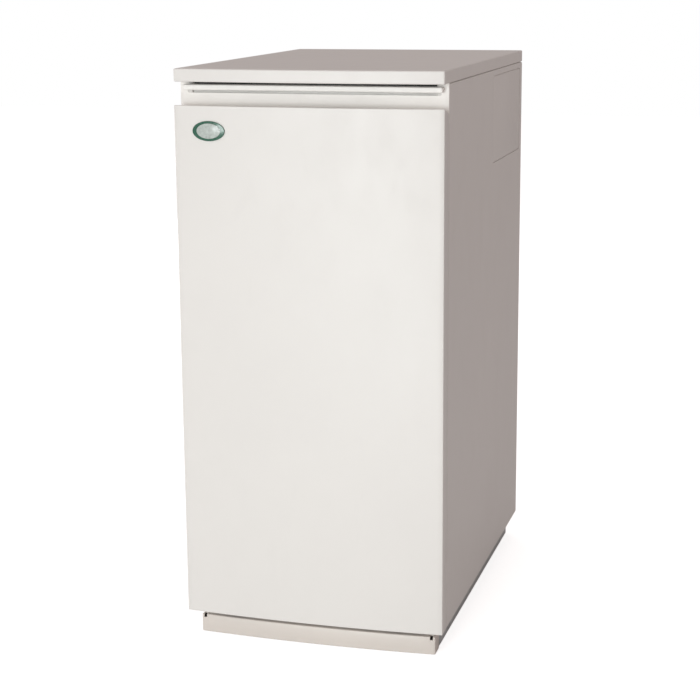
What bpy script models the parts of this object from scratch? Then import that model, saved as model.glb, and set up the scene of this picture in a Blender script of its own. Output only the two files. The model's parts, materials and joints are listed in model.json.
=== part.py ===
"""A floor-standing, oil-fired domestic boiler in a white steel case, with its pressure-jet burner inside.

The frame: +X is the right of someone facing the door, +Y runs to the back, +Z is up, and the origin lies on
the floor, under the middle of the bounding box. Sizes below are in millimetres; the scene is in metres.
"""

import math

import bmesh
import bpy
from mathutils import Vector

MM = 0.001
GAP = 0.3  # clearance between two pieces that touch
ROUND = 32  # facets of a large round piece
FINE_ROUND = 16  # facets of a small one

# Case
WIDTH, DEPTH, HEIGHT = 400, 600, 865
HALF = WIDTH / 2
SHEET = 1.2
BOW = 8  # how far the middle of the door stands in front of its corners
REAR_STUB = 36  # how far the sockets and the flue collar stand out behind the back panel
FRONT = BOW - (BOW + DEPTH + REAR_STUB) / 2
BACK = FRONT + DEPTH
STUB_END = BACK + REAR_STUB
BASE_HEIGHT = 40
BASE_INSET = 17
PLINTH_SETBACK, PLINTH_HEIGHT = 19, 28
LID_SKIRT = 17.5
LID_BOTTOM = HEIGHT - LID_SKIRT
FINGER_GAP = 34.5
DOOR_TOP = LID_BOTTOM - FINGER_GAP
DOOR_BOTTOM = BASE_HEIGHT
DOOR_RETURN = 27.5
HEADER_FACE = FRONT + 28.2
CASE_FRONT = FRONT + 29.8
PANEL_TOP = 845.5
PANEL_FLANGE = 18

# Door pivot: two tongues that stand in slots of the door's bottom return
PIVOT_Y = FRONT + 12
PIVOT_Z = DOOR_BOTTOM + SHEET / 2
TONGUE_X, TONGUE_WIDTH, TONGUE_THICK, TONGUE_TALL = 130, 20, 1.5, 8

# Finger-grip header
SLOT_HALF, SLOT_BOTTOM = 177, 840.5
LIP_BOTTOM, LIP_REACH, LIP_HALF = 832, 12, 194

# Flue blanking plates in the side panels
BLANK_FRONT, BLANK_BACK = FRONT + 348, FRONT + 578
BLANK_LOW, BLANK_HIGH = 700, 836
BLANK_LAP = 6

# Boiler body
JACKET_HALF, JACKET_FRONT, JACKET_BACK = 150, -72, 232
JACKET_LOW, JACKET_HIGH, JACKET_WALL = 70, 640, 4
LINER_HALF, LINER_BACK, LINER_LOW, LINER_WALL = 122, 198, 110, 5
MOUTH_HALF, MOUTH_LOW, MOUTH_HIGH = 105, 165, 435
DOOR_PLATE = 8
FLUEWAY_FRONT, FLUEWAY_BACK = -50, 180
INSULATION = 20
HOOD_HIGH, HOOD_WALL = 790, 3
FLUE_Z, FLUE_RADIUS, FLUE_WALL = 728, 51, 3
SOCKET_RADIUS, SOCKET_BORE = 21, 15
FLOW_X, FLOW_Z = 112, 590
RETURN_X, RETURN_Z = -112, 120

# Burner
BURNER_Z = 300
FAN_Y, FAN_Z = -188, 292
DRUM_RADIUS, DRUM_HALF, DRUM_WALL = 82, 34, 3
DUCT_HALF, DUCT_FRONT = 47, -138
CELL_Y = -112
TUBE_RADIUS, TUBE_WALL = 44, 2.5
TUBE_FRONT, TUBE_END = -101, 40
PUMP_X, PUMP_LONG = 67, 52
MOTOR_RADIUS, MOTOR_LONG = 44, 92
SHAFT_RADIUS = 6

# Oil line
OIL_X, OIL_Z, VALVE_Y = 158, 58, -205

# Controls
PANEL_HALF, PANEL_LOW, PANEL_HIGH = 168, 690, 784
PANEL_FACE = FRONT + 60
PANEL_BACK = -110
KNOB_X, SWITCH_X, RESET_X, LAMP_X = -95, 105, 15, 60
CONTROL_Z = 738


def clear_scene():
    for old in list(bpy.data.objects):
        bpy.data.objects.remove(old)


def material(name, colour, roughness, metallic=0.0):
    made = bpy.data.materials.new(name)
    made.use_nodes = True
    shader = made.node_tree.nodes["Principled BSDF"]
    shader.inputs["Base Color"].default_value = (*colour, 1)
    shader.inputs["Roughness"].default_value = roughness
    shader.inputs["Metallic"].default_value = metallic
    return made


def make_materials():
    return {
        "white_paint": material("white_paint", (0.86, 0.85, 0.83), 0.35),
        "black_paint": material("black_paint", (0.03, 0.03, 0.03), 0.5),
        "galvanised": material("galvanised", (0.62, 0.63, 0.64), 0.4, 0.9),
        "boiler_steel": material("boiler_steel", (0.10, 0.11, 0.12), 0.6, 0.3),
        "insulation": material("insulation", (0.78, 0.74, 0.62), 0.95),
        "stainless": material("stainless", (0.66, 0.65, 0.63), 0.25, 1.0),
        "brass": material("brass", (0.80, 0.60, 0.28), 0.3, 1.0),
        "copper": material("copper", (0.80, 0.42, 0.28), 0.3, 1.0),
        "casting": material("casting", (0.55, 0.56, 0.57), 0.55, 0.8),
        "burner_red": material("burner_red", (0.55, 0.05, 0.04), 0.4),
        "black_plastic": material("black_plastic", (0.03, 0.03, 0.035), 0.45),
        "grey_plastic": material("grey_plastic", (0.30, 0.31, 0.32), 0.5),
        "red_plastic": material("red_plastic", (0.70, 0.05, 0.04), 0.3),
        "white_ceramic": material("white_ceramic", (0.85, 0.83, 0.78), 0.3),
        "badge_green": material("badge_green", (0.10, 0.28, 0.20), 0.35),
    }


def mesh_object(name, vertices, faces, look, origin=(0, 0, 0)):
    """A named object from vertices in millimetres, placed with its origin at that point."""
    shape = bmesh.new()
    corners = [shape.verts.new((Vector(v) - Vector(origin)) * MM) for v in vertices]
    for face in faces:
        shape.faces.new([corners[i] for i in face])
    bmesh.ops.recalc_face_normals(shape, faces=shape.faces)
    mesh = bpy.data.meshes.new(name)
    shape.to_mesh(mesh)
    shape.free()
    mesh.shade_smooth()
    mesh.set_sharp_from_angle(angle=math.radians(30))
    if look:
        mesh.materials.append(look)
    made = bpy.data.objects.new(name, mesh)
    made.location = Vector(origin) * MM
    bpy.context.scene.collection.objects.link(made)
    return made


def prism(name, outline, low, high, axis, look, origin=(0, 0, 0)):
    """An outline swept along an axis. The outline holds (y, z) for X, (x, z) for Y and (x, y) for Z."""
    place = {
        "X": lambda a, b, c: (c, a, b),
        "Y": lambda a, b, c: (a, c, b),
        "Z": lambda a, b, c: (a, b, c),
    }[axis]
    count = len(outline)
    vertices = [place(a, b, c) for c in (low, high) for a, b in outline]
    sides = [(i, (i + 1) % count, (i + 1) % count + count, i + count) for i in range(count)]
    caps = [tuple(range(count)), tuple(range(count, 2 * count))]
    return mesh_object(name, vertices, sides + caps, look, origin)


def rectangle(a0, a1, b0, b1):
    return [(a0, b0), (a1, b0), (a1, b1), (a0, b1)]


def circle(a, b, radius, facets):
    """A regular outline whose flats, and not its corners, face the axes."""
    turns = [2 * math.pi * (i + 0.5) / facets for i in range(facets)]
    return [(a + radius * math.cos(t), b + radius * math.sin(t)) for t in turns]


def box(name, low, high, look, origin=None):
    middle = [(a + b) / 2 for a, b in zip(low, high)]
    outline = rectangle(low[0], high[0], low[1], high[1])
    return prism(name, outline, low[2], high[2], "Z", look, origin or middle)


def rod(name, centre, radius, low, high, axis, look, facets=ROUND, origin=None):
    """A cylinder along an axis. centre holds the two coordinates across that axis."""
    outline = circle(*centre, radius, facets)
    a, b = centre
    middle = {"X": (low, a, b), "Y": (a, low, b), "Z": (a, b, low)}[axis]
    return prism(name, outline, low, high, axis, look, origin or middle)


def cutter(shape):
    shape.hide_render = True
    shape.display_type = "WIRE"
    return shape


def combine(target, operation, others):
    for other in others:
        cutter(other)
        step = target.modifiers.new(operation.lower(), "BOOLEAN")
        step.operation = operation
        step.solver = "EXACT"
        step.object = other
    return target


def cut(target, *cutters):
    return combine(target, "DIFFERENCE", cutters)


def join(target, *others):
    return combine(target, "UNION", others)


def gather(name, pieces):
    """Separate shapes as one object, so that a single step cuts or joins them all."""
    shape = bmesh.new()
    for piece in pieces:
        first = len(shape.verts)
        shape.from_mesh(piece.data)
        shape.verts.ensure_lookup_table()
        bmesh.ops.translate(shape, verts=shape.verts[first:], vec=piece.location)
        bpy.data.objects.remove(piece)
    mesh = bpy.data.meshes.new(name)
    shape.to_mesh(mesh)
    shape.free()
    made = bpy.data.objects.new(name, mesh)
    bpy.context.scene.collection.objects.link(made)
    return made


def ring(name, centre, radius, bore, low, high, axis, look, facets=ROUND, origin=None):
    """A tube, washer or collar, open from end to end."""
    over = 5
    hole = rod(name + "_bore", centre, bore, low - over, high + over, axis, None, facets)
    return cut(rod(name, centre, radius, low, high, axis, look, facets, origin), hole)


def pipe(name, points, radius, look, resolution=2):
    """A round rod along a smooth curve through the points."""
    line = bpy.data.curves.new(name, "CURVE")
    line.dimensions = "3D"
    line.bevel_depth = radius * MM
    line.bevel_resolution = resolution
    line.use_fill_caps = True
    route = smooth_route(points)
    spline = line.splines.new("POLY")
    spline.points.add(len(route) - 1)
    for point, place in zip(spline.points, route):
        point.co = (*(place * MM), 1)
    if look:
        line.materials.append(look)
    made = bpy.data.objects.new(name, line)
    bpy.context.scene.collection.objects.link(made)
    return made


def smooth_route(points, steps=6):
    """Points along a Catmull-Rom curve through the given ones."""
    knots = [Vector(p) for p in points]
    knots = [2 * knots[0] - knots[1], *knots, 2 * knots[-1] - knots[-2]]
    route = []
    for a, b, c, d in zip(knots, knots[1:], knots[2:], knots[3:]):
        for i in range(steps):
            t = i / steps
            bend, twist = 2 * a - 5 * b + 4 * c - d, 3 * b - a - 3 * c + d
            route.append(0.5 * (2 * b + (c - a) * t + bend * t**2 + twist * t**3))
    return [*route, knots[-2]]


def bowed(front, half, bow, back):
    """A plan outline whose front edge is a shallow arc standing forward of its corners by bow."""
    steps = 16
    edge = []
    for i in range(steps + 1):
        x = half * (2 * i / steps - 1)
        edge.append((x, front - bow * (1 - (x / half) ** 2)))
    return [*edge, (half, back), (-half, back)]


def pan(name, low, high, open_side, look, wall=SHEET):
    """A folded sheet pan. open_side is its open axis and end, such as "-X"."""
    made = box(name, low, high, look)
    inner_low = [v + wall for v in low]
    inner_high = [v - wall for v in high]
    k = "XYZ".index(open_side[1])
    if open_side[0] == "-":
        inner_low[k] = low[k] - 5
    else:
        inner_high[k] = high[k] + 5
    return cut(made, box(name + "_inside", inner_low, inner_high, None))


def build_base(look):
    """Two runners, the floor plate, the plinth that clips to them, and the tongues that carry the door."""
    outer = HALF - BASE_INSET
    front, back = FRONT + PLINTH_SETBACK + 27, BACK - 6
    thick, foot = 2, 28
    for side, sign in (("left", -1), ("right", 1)):
        z0, z1 = 0, BASE_HEIGHT - GAP
        channel = [
            (outer, z0),
            (outer, z1),
            (outer - foot, z1),
            (outer - foot, z1 - thick),
            (outer - thick, z1 - thick),
        ]
        channel += [(outer - thick, z0 + thick), (outer - foot, z0 + thick), (outer - foot, z0)]
        outline = [(sign * x, z) for x, z in channel]
        prism(f"base_runner_{side}", outline, front, back, "Y", look["galvanised"])
    plate = box(
        "base_plate",
        (-179, CASE_FRONT + 4, BASE_HEIGHT),
        (179, BACK - 8, BASE_HEIGHT + 2),
        look["galvanised"],
    )
    face = FRONT + PLINTH_SETBACK
    end = face + 26
    plinth = prism(
        "plinth", bowed(face, outer + 2, BOW - 1, end), 0, PLINTH_HEIGHT, "Z", look["white_paint"]
    )
    inside = bowed(face + SHEET, outer + 2 - SHEET, BOW - 1, end + 5)
    cut(plinth, prism("plinth_inside", inside, -5, PLINTH_HEIGHT - SHEET, "Z", None))
    shelf, rear = BASE_HEIGHT - 2.2, CASE_FRONT + 8
    y0, top = PIVOT_Y - TONGUE_THICK / 2, PIVOT_Z + TONGUE_TALL
    tongue = [(y0, top), (y0, shelf - thick), (rear, shelf - thick), (rear, BASE_HEIGHT + 1)]
    tongue += [
        (rear - thick, BASE_HEIGHT + 1),
        (rear - thick, shelf),
        (y0 + TONGUE_THICK, shelf),
        (y0 + TONGUE_THICK, top),
    ]
    for sign in (-1, 1):
        x0 = sign * TONGUE_X - TONGUE_WIDTH / 2
        join(plate, prism(f"door_tongue_{sign}", tongue, x0, x0 + TONGUE_WIDTH, "X", None))


def build_side_panels(look):
    """Left and right panels, each a folded pan with a hole that a blanking plate closes from inside."""
    for side, sign in (("left", -1), ("right", 1)):
        outside, inside = sign * HALF, sign * (HALF - PANEL_FLANGE)
        low = (min(outside, inside), CASE_FRONT, BASE_HEIGHT)
        high = (max(outside, inside), BACK, PANEL_TOP)
        panel = pan(f"side_panel_{side}", low, high, "-X" if sign > 0 else "+X", look["white_paint"])
        hole = box(
            f"blank_hole_{side}",
            (outside - 4, BLANK_FRONT, BLANK_LOW),
            (outside + 4, BLANK_BACK, BLANK_HIGH),
            None,
        )
        cut(panel, hole)
        skin = sorted((outside, sign * (HALF - SHEET - GAP)))
        lap = sorted((sign * (HALF - SHEET - GAP) + sign * 0.1, sign * (HALF - 2 * SHEET - GAP)))
        plate = box(
            f"flue_blank_{side}",
            (skin[0], BLANK_FRONT + 0.6, BLANK_LOW + 0.6),
            (skin[1], BLANK_BACK - 0.6, BLANK_HIGH - 0.6),
            look["white_paint"],
        )
        flange = box(
            f"blank_flange_{side}",
            (lap[0], BLANK_FRONT - BLANK_LAP, BLANK_LOW - BLANK_LAP),
            (lap[1], BLANK_BACK + BLANK_LAP, BLANK_HIGH + BLANK_LAP),
            None,
        )
        join(plate, flange)


def build_back_panel(look):
    """The rear sheet, with holes for the flue collar, the sockets, the oil pipe and the cable gland."""
    outer = BACK - SHEET - GAP
    panel = box(
        "back_panel",
        (-196, outer - SHEET, BASE_HEIGHT + 2.5),
        (196, outer, PANEL_TOP - 2),
        look["galvanised"],
    )
    holes = [
        (0, FLUE_Z, FLUE_RADIUS + 5),
        (FLOW_X, FLOW_Z, SOCKET_RADIUS + 5),
        (RETURN_X, RETURN_Z, SOCKET_RADIUS + 5),
        (OIL_X, OIL_Z, 7),
        (OIL_X, 100, 10.5),
    ]
    openings = [
        rod("back_hole", (x, z), radius, outer - 10, outer + 10, "Y", None) for x, z, radius in holes
    ]
    cut(panel, gather("back_openings", openings))


def build_header(look):
    """The rail behind the finger gap: a flat face, a rounded nose, and the air slot above the nose."""
    face, back = HEADER_FACE, HEADER_FACE + SHEET
    low, high = (-HALF, face, DOOR_TOP - 22), (HALF, back, LID_BOTTOM - GAP)
    rail = box("header_rail", low, high, look["white_paint"])
    front = face - LIP_REACH
    middle = (LIP_BOTTOM + SLOT_BOTTOM) / 2
    lip = [
        (back - 0.2, LIP_BOTTOM + 2),
        (front + 5, LIP_BOTTOM),
        (front + 1.5, LIP_BOTTOM + 1.2),
        (front, middle),
    ]
    lip += [(front + 1, SLOT_BOTTOM - 1.4), (front + 3, SLOT_BOTTOM - 0.4), (back - 0.2, SLOT_BOTTOM - 0.4)]
    join(rail, prism("header_lip", lip, -LIP_HALF, LIP_HALF, "X", None))
    slot = box(
        "header_slot", (-SLOT_HALF, face - 5, SLOT_BOTTOM), (SLOT_HALF, back + 5, LID_BOTTOM - 1.5), None
    )
    cut(rail, slot)


def build_door(look):
    """The lift-off door: a bowed skin folded back all round, its insulating pad, and a plain oval badge."""
    back = FRONT + DOOR_RETURN
    pivot = (0, PIVOT_Y, PIVOT_Z)
    skin = bowed(FRONT, HALF, BOW, back)
    door = prism("front_door", skin, DOOR_BOTTOM, DOOR_TOP, "Z", look["white_paint"], pivot)
    hollow = bowed(FRONT + SHEET, HALF - SHEET, BOW, back + 5)
    inside = prism("door_inside", hollow, DOOR_BOTTOM + SHEET, DOOR_TOP - SHEET, "Z", None)
    slots = []
    slot_half, slot_deep = TONGUE_WIDTH / 2 + 2, 6
    for sign in (-1, 1):
        x = sign * TONGUE_X
        low = (x - slot_half, PIVOT_Y - slot_deep, DOOR_BOTTOM - 3)
        high = (x + slot_half, PIVOT_Y + slot_deep, DOOR_BOTTOM + 3)
        slots.append(box(f"door_slot_{sign}", low, high, None))
    cut(door, inside, *slots)
    pad_edge = bowed(FRONT + SHEET + GAP, 178, BOW * 0.75, FRONT + 16)
    prism("door_insulation", pad_edge, 62, 780, "Z", look["insulation"], pivot)
    badge_x, badge_z, half_wide, half_tall = -146, 776.5, 25, 14.5
    behind = FRONT - BOW * (1 - (badge_x / HALF) ** 2)
    oval = []
    for i in range(FINE_ROUND * 2):
        turn = math.pi * i / FINE_ROUND
        oval.append((badge_x + half_wide * math.cos(turn), badge_z + half_tall * math.sin(turn)))
    badge = prism("badge", oval, behind - 3.2, behind + 3, "Y", look["badge_green"], pivot)
    over = prism(
        "badge_bed", bowed(FRONT - GAP, HALF, BOW, FRONT + 30), badge_z - 30, badge_z + 30, "Z", None
    )
    cut(badge, over)


def build_lid(look):
    """The lift-off top: a shallow pan that rests on the side panels and covers the door."""
    seat = (0, 0, LID_BOTTOM)
    lid = prism("lid", bowed(FRONT, HALF, BOW, BACK), LID_BOTTOM, HEIGHT, "Z", look["white_paint"], seat)
    hollow = bowed(FRONT + SHEET, HALF - SHEET, BOW, BACK - SHEET)
    cut(lid, prism("lid_inside", hollow, LID_BOTTOM - 5, HEIGHT - SHEET, "Z", None))
    for side in (-1, 1):
        x = sorted((side * (HALF - SHEET), side * (HALF - SHEET - 12)))
        low = (x[0], CASE_FRONT + 10, PANEL_TOP + GAP)
        join(lid, box(f"lid_runner_{side}", low, (x[1], BACK - 10, HEIGHT - SHEET), None))


def build_boiler(look):
    """The water jacket round the chamber liner, its baffles, flue hood, covers, sockets and insulation."""
    front, back = JACKET_FRONT, JACKET_BACK
    jacket = box(
        "boiler_jacket",
        (-JACKET_HALF, front, JACKET_LOW),
        (JACKET_HALF, back, JACKET_HIGH),
        look["boiler_steel"],
    )
    wall = JACKET_WALL
    water = box(
        "water_space",
        (-JACKET_HALF + wall, front + wall, JACKET_LOW + wall),
        (JACKET_HALF - wall, back - wall, JACKET_HIGH - wall),
        None,
    )
    mouth = box(
        "jacket_mouth", (-MOUTH_HALF, front - 5, MOUTH_LOW), (MOUTH_HALF, front + 9, MOUTH_HIGH), None
    )
    flueway = box(
        "jacket_top", (-112, FLUEWAY_FRONT, JACKET_HIGH - 9), (112, FLUEWAY_BACK, JACKET_HIGH + 5), None
    )
    sockets = []
    for name, x, z in (("flow", FLOW_X, FLOW_Z), ("return", RETURN_X, RETURN_Z)):
        sockets.append(rod(f"{name}_hole", (x, z), SOCKET_RADIUS + GAP, back - 12, back + 12, "Y", None))
        ring(
            f"{name}_socket",
            (x, z),
            SOCKET_RADIUS,
            SOCKET_BORE,
            back - 14,
            STUB_END,
            "Y",
            look["black_paint"],
        )
    cut(jacket, water, mouth, flueway, *sockets)
    for sign in (-1, 1):
        low = (sign * 100 - 18, front + 10, BASE_HEIGHT + 2 + GAP)
        join(jacket, box(f"boiler_foot_{sign}", low, (sign * 100 + 18, back - 10, JACKET_LOW + 1), None))

    inner_front, inner_top = front + wall + GAP, JACKET_HIGH - wall - GAP
    liner = box(
        "chamber_liner",
        (-LINER_HALF, inner_front, LINER_LOW),
        (LINER_HALF, LINER_BACK, inner_top),
        look["boiler_steel"],
    )
    t = LINER_WALL
    hollow = box(
        "chamber_space",
        (-LINER_HALF + t, inner_front + t, LINER_LOW + t),
        (LINER_HALF - t, LINER_BACK - t, inner_top - t),
        None,
    )
    liner_mouth = box(
        "liner_mouth",
        (-MOUTH_HALF, inner_front - 5, MOUTH_LOW),
        (MOUTH_HALF, inner_front + 9, MOUTH_HIGH),
        None,
    )
    liner_top = box(
        "liner_top", (-112, FLUEWAY_FRONT, inner_top - 9), (112, FLUEWAY_BACK, inner_top + 5), None
    )
    cut(liner, hollow, liner_mouth, liner_top)
    ledges = []
    for sign in (-1, 1):
        x = sorted((sign * (LINER_HALF - t + 1), sign * (LINER_HALF - t - 8)))
        ledges.append(box(f"ledge_{sign}", (x[0], -40, 452), (x[1], 170, 460), None))
    join(liner, *ledges)

    leg, plate, reach = 48, 3, LINER_HALF - t - 2
    for i, name in enumerate(("lower", "middle", "upper")):
        z = 460 + GAP + i * (leg + plate + GAP)
        ends = (-48, 130) if i % 2 == 0 else (0, 178)
        tray = rectangle(-reach, reach, z, z + leg + plate)
        under = rectangle(-reach + plate, reach - plate, z - 5, z + leg)
        baffle = prism(f"baffle_{name}", tray, *ends, "Y", look["stainless"])
        cut(baffle, prism(f"baffle_{name}_under", under, ends[0] - 5, ends[1] + 5, "Y", None))

    outer = JACKET_HALF + INSULATION
    wrap = [(-outer, front + 4), (-JACKET_HALF - GAP, front + 4), (-JACKET_HALF - GAP, back + GAP)]
    wrap += [(JACKET_HALF + GAP, back + GAP), (JACKET_HALF + GAP, front + 4), (outer, front + 4)]
    wrap += [(outer, back + INSULATION), (-outer, back + INSULATION)]
    jacket_wrap = prism("jacket_insulation", wrap, JACKET_LOW + 6, JACKET_HIGH - 4, "Z", look["insulation"])
    wrap_holes = []
    for name, x, z in (("flow", FLOW_X, FLOW_Z), ("return", RETURN_X, RETURN_Z)):
        wrap_holes.append(
            rod(f"wrap_hole_{name}", (x, z), SOCKET_RADIUS + 1, back - 5, back + 40, "Y", None)
        )
    cut(jacket_wrap, *wrap_holes)


def build_flue(look):
    """The hood that gathers the gases above the flueways, its cleaning cover and the rear collar."""
    base = JACKET_HIGH + GAP
    hood_back = 215
    hood = box("flue_hood", (-125, -62, base), (125, hood_back, HOOD_HIGH), look["stainless"])
    wall = HOOD_WALL
    inside = box(
        "hood_inside",
        (-125 + wall, -62 + wall, base - 5),
        (125 - wall, hood_back - wall, HOOD_HIGH - wall),
        None,
    )
    hatch = box("hood_hatch", (-100, -40, HOOD_HIGH - 9), (100, 190, HOOD_HIGH + 5), None)
    outlet = rod("hood_outlet", (0, FLUE_Z), FLUE_RADIUS + GAP, hood_back - 9, hood_back + 9, "Y", None)
    cut(hood, inside, hatch, outlet)
    collar_start = hood_back - 12
    ring(
        "flue_collar",
        (0, FLUE_Z),
        FLUE_RADIUS,
        FLUE_RADIUS - FLUE_WALL,
        collar_start,
        STUB_END,
        "Y",
        look["stainless"],
    )
    low, high = HOOD_HIGH + GAP, HOOD_HIGH + 6
    cover = box("cleaning_cover", (-118, -57, low), (118, 208, high), look["boiler_steel"])
    grip = [(30, high - 1), (30, high + 20), (120, high + 20), (120, high - 1)]
    grip += [(112, high - 1), (112, high + 13), (38, high + 13), (38, high - 1)]
    join(cover, prism("cover_grip", grip, -6, 6, "X", None))
    for sign in (-1, 1):
        for y in (-47, 198):
            nut = prism("cover_nut", circle(sign * 108, y, 8, 6), high - 1, high + 8, "Z", None)
            join(cover, nut)


def build_burner_door(look):
    """The steel plate that closes the chamber mouth and carries the burner, with its refractory block."""
    plate_back = JACKET_FRONT - GAP
    plate_front = plate_back - DOOR_PLATE
    half, low, high = 128, MOUTH_LOW - 22, MOUTH_HIGH + 22
    plate = box("burner_door", (-half, plate_front, low), (half, plate_back, high), look["boiler_steel"])
    cut(
        plate,
        rod("burner_door_hole", (0, BURNER_Z), TUBE_RADIUS + 2, plate_front - 5, plate_back + 5, "Y", None),
    )
    for sign in (-1, 1):
        for z in (low + 14, high - 14):
            join(
                plate,
                prism(
                    "door_nut",
                    circle(sign * (half - 12), z, 8.5, 6),
                    plate_front - 9,
                    plate_front + 1,
                    "Y",
                    None,
                ),
            )
    block_low = (-MOUTH_HALF + 4, plate_back + GAP, MOUTH_LOW + 4)
    block = box(
        "refractory_block",
        block_low,
        (MOUTH_HALF - 4, plate_back + 34, MOUTH_HIGH - 4),
        look["white_ceramic"],
    )
    cut(
        block, rod("block_hole", (0, BURNER_Z), TUBE_RADIUS + 3, plate_back - 5, plate_back + 45, "Y", None)
    )


def build_burner(look):
    """The pressure-jet burner: fan housing, motor, rotor, pump, ignition, air damper and firing head."""
    flange_back = JACKET_FRONT - DOOR_PLATE - 2 * GAP
    ring(
        "burner_flange",
        (0, BURNER_Z),
        72,
        TUBE_RADIUS + GAP,
        flange_back - 10,
        flange_back,
        "Y",
        look["casting"],
    )
    ring(
        "blast_tube",
        (0, BURNER_Z),
        TUBE_RADIUS,
        TUBE_RADIUS - TUBE_WALL,
        TUBE_FRONT,
        TUBE_END,
        "Y",
        look["stainless"],
    )

    duct_end = flange_back - 10 - GAP
    drum = rod("burner_housing", (FAN_Y, FAN_Z), DRUM_RADIUS, -DRUM_HALF, DRUM_HALF, "X", look["casting"])
    duct_low, duct_high = BURNER_Z - DUCT_HALF, BURNER_Z + DUCT_HALF
    join(drum, box("duct", (-DUCT_HALF, DUCT_FRONT, duct_low), (DUCT_HALF, duct_end, duct_high), None))
    hollow = rod(
        "drum_hollow", (FAN_Y, FAN_Z), DRUM_RADIUS - DRUM_WALL, -DRUM_HALF + 3, DRUM_HALF - 3, "X", None
    )
    throat = box("throat", (-30, -175, BURNER_Z - 36), (30, TUBE_FRONT + 2, BURNER_Z + 36), None)
    tube_seat = rod(
        "tube_seat", (0, BURNER_Z), TUBE_RADIUS + GAP, TUBE_FRONT - GAP, duct_end + 5, "Y", None
    )
    shaft_hole = rod(
        "shaft_hole", (FAN_Y, FAN_Z), SHAFT_RADIUS + 2, -DRUM_HALF - 5, 0, "X", None, FINE_ROUND
    )
    eye = rod("fan_eye", (FAN_Y, FAN_Z), 40, 0, DRUM_HALF + 5, "X", None)
    cell_hole = rod("cell_hole", (0, CELL_Y), 8.4, duct_high - 9, duct_high + 5, "Z", None, FINE_ROUND)
    cut(drum, hollow, throat, tube_seat, shaft_hole, eye, cell_hole)

    motor_end = -DRUM_HALF - GAP
    motor = rod(
        "burner_motor",
        (FAN_Y, FAN_Z),
        MOTOR_RADIUS,
        motor_end - MOTOR_LONG,
        motor_end,
        "X",
        look["black_paint"],
    )
    cap = rod("motor_cap", (FAN_Y, FAN_Z), 30, motor_end - MOTOR_LONG - 7, motor_end - 5, "X", None)
    capacitor = rod("capacitor", (FAN_Y + 8, FAN_Z + 58), 17, motor_end - 84, motor_end - 22, "X", None)
    saddle = box(
        "saddle", (motor_end - 70, FAN_Y - 4, FAN_Z + 30), (motor_end - 35, FAN_Y + 20, FAN_Z + 55), None
    )
    bearing = rod(
        "motor_bore", (FAN_Y, FAN_Z), SHAFT_RADIUS + 1, motor_end - 30, motor_end + 5, "X", None, FINE_ROUND
    )
    cut(join(motor, cap, saddle, capacitor), bearing)

    axle = (0, FAN_Y, FAN_Z)
    rod(
        "motor_shaft",
        (FAN_Y, FAN_Z),
        SHAFT_RADIUS,
        motor_end - 26,
        18,
        "X",
        look["galvanised"],
        FINE_ROUND,
        axle,
    )
    build_impeller(look, axle)
    rod(
        "pump_coupling",
        (FAN_Y, FAN_Z),
        11,
        18 + GAP,
        PUMP_X - 4 - GAP,
        "X",
        look["black_plastic"],
        FINE_ROUND,
        axle,
    )

    pump = box(
        "fuel_pump", (PUMP_X, FAN_Y - 32, FAN_Z - 34), (PUMP_X + PUMP_LONG, FAN_Y + 32, FAN_Z + 30), look[
            "casting"
        ]
    )
    nose = rod("pump_nose", (FAN_Y, FAN_Z), 16, PUMP_X - 4, PUMP_X + 5, "X", None)
    cover = rod("pump_cover", (FAN_Y, FAN_Z), 27, PUMP_X + 20, PUMP_X + PUMP_LONG + 9, "X", None)
    inlet = rod("pump_inlet", (PUMP_X + 40, FAN_Y), 9, FAN_Z - 46, FAN_Z - 30, "Z", None, 6)
    join(pump, nose, cover, inlet)
    coil = rod(
        "pump_solenoid",
        (PUMP_X + 24, FAN_Y - 4),
        16,
        FAN_Z + 30 + GAP,
        FAN_Z + 66,
        "Z",
        look["black_plastic"],
    )
    join(coil, prism("coil_nut", circle(PUMP_X + 24, FAN_Y - 4, 8, 6), FAN_Z + 60, FAN_Z + 74, "Z", None))
    nozzle_start = (PUMP_X + 44, FAN_Y + 22, FAN_Z + 30 + GAP)
    route = [
        nozzle_start,
        (PUMP_X + 44, FAN_Y + 24, FAN_Z + 62),
        (PUMP_X + 30, -142, duct_high + 28),
        (38, -112, duct_high + 28),
        (24, -107, duct_high + 16),
        (23, -107, duct_high + 2 * GAP),
    ]
    pipe("nozzle_pipe", route, 3, look["copper"])

    box_low, box_high = FAN_Z + DRUM_RADIUS + 1, FAN_Z + DRUM_RADIUS + 58
    control = box("burner_control_box", (-44, -236, box_low), (44, -146, box_high), look["black_plastic"])
    button_hole = rod("button_hole", (22, box_high - 20), 7.5, -240, -222, "Y", None, FINE_ROUND)
    cut(control, button_hole)
    rod("burner_reset_button", (22, box_high - 20), 7, -243, -226, "Y", look["red_plastic"], FINE_ROUND)
    photocell = rod(
        "photocell", (0, CELL_Y), 8, duct_high - 6, duct_high + 22, "Z", look["black_plastic"], FINE_ROUND
    )
    join(
        photocell,
        rod("cell_collar", (0, CELL_Y), 12, duct_high + GAP, duct_high + 6, "Z", None, FINE_ROUND),
    )

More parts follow.
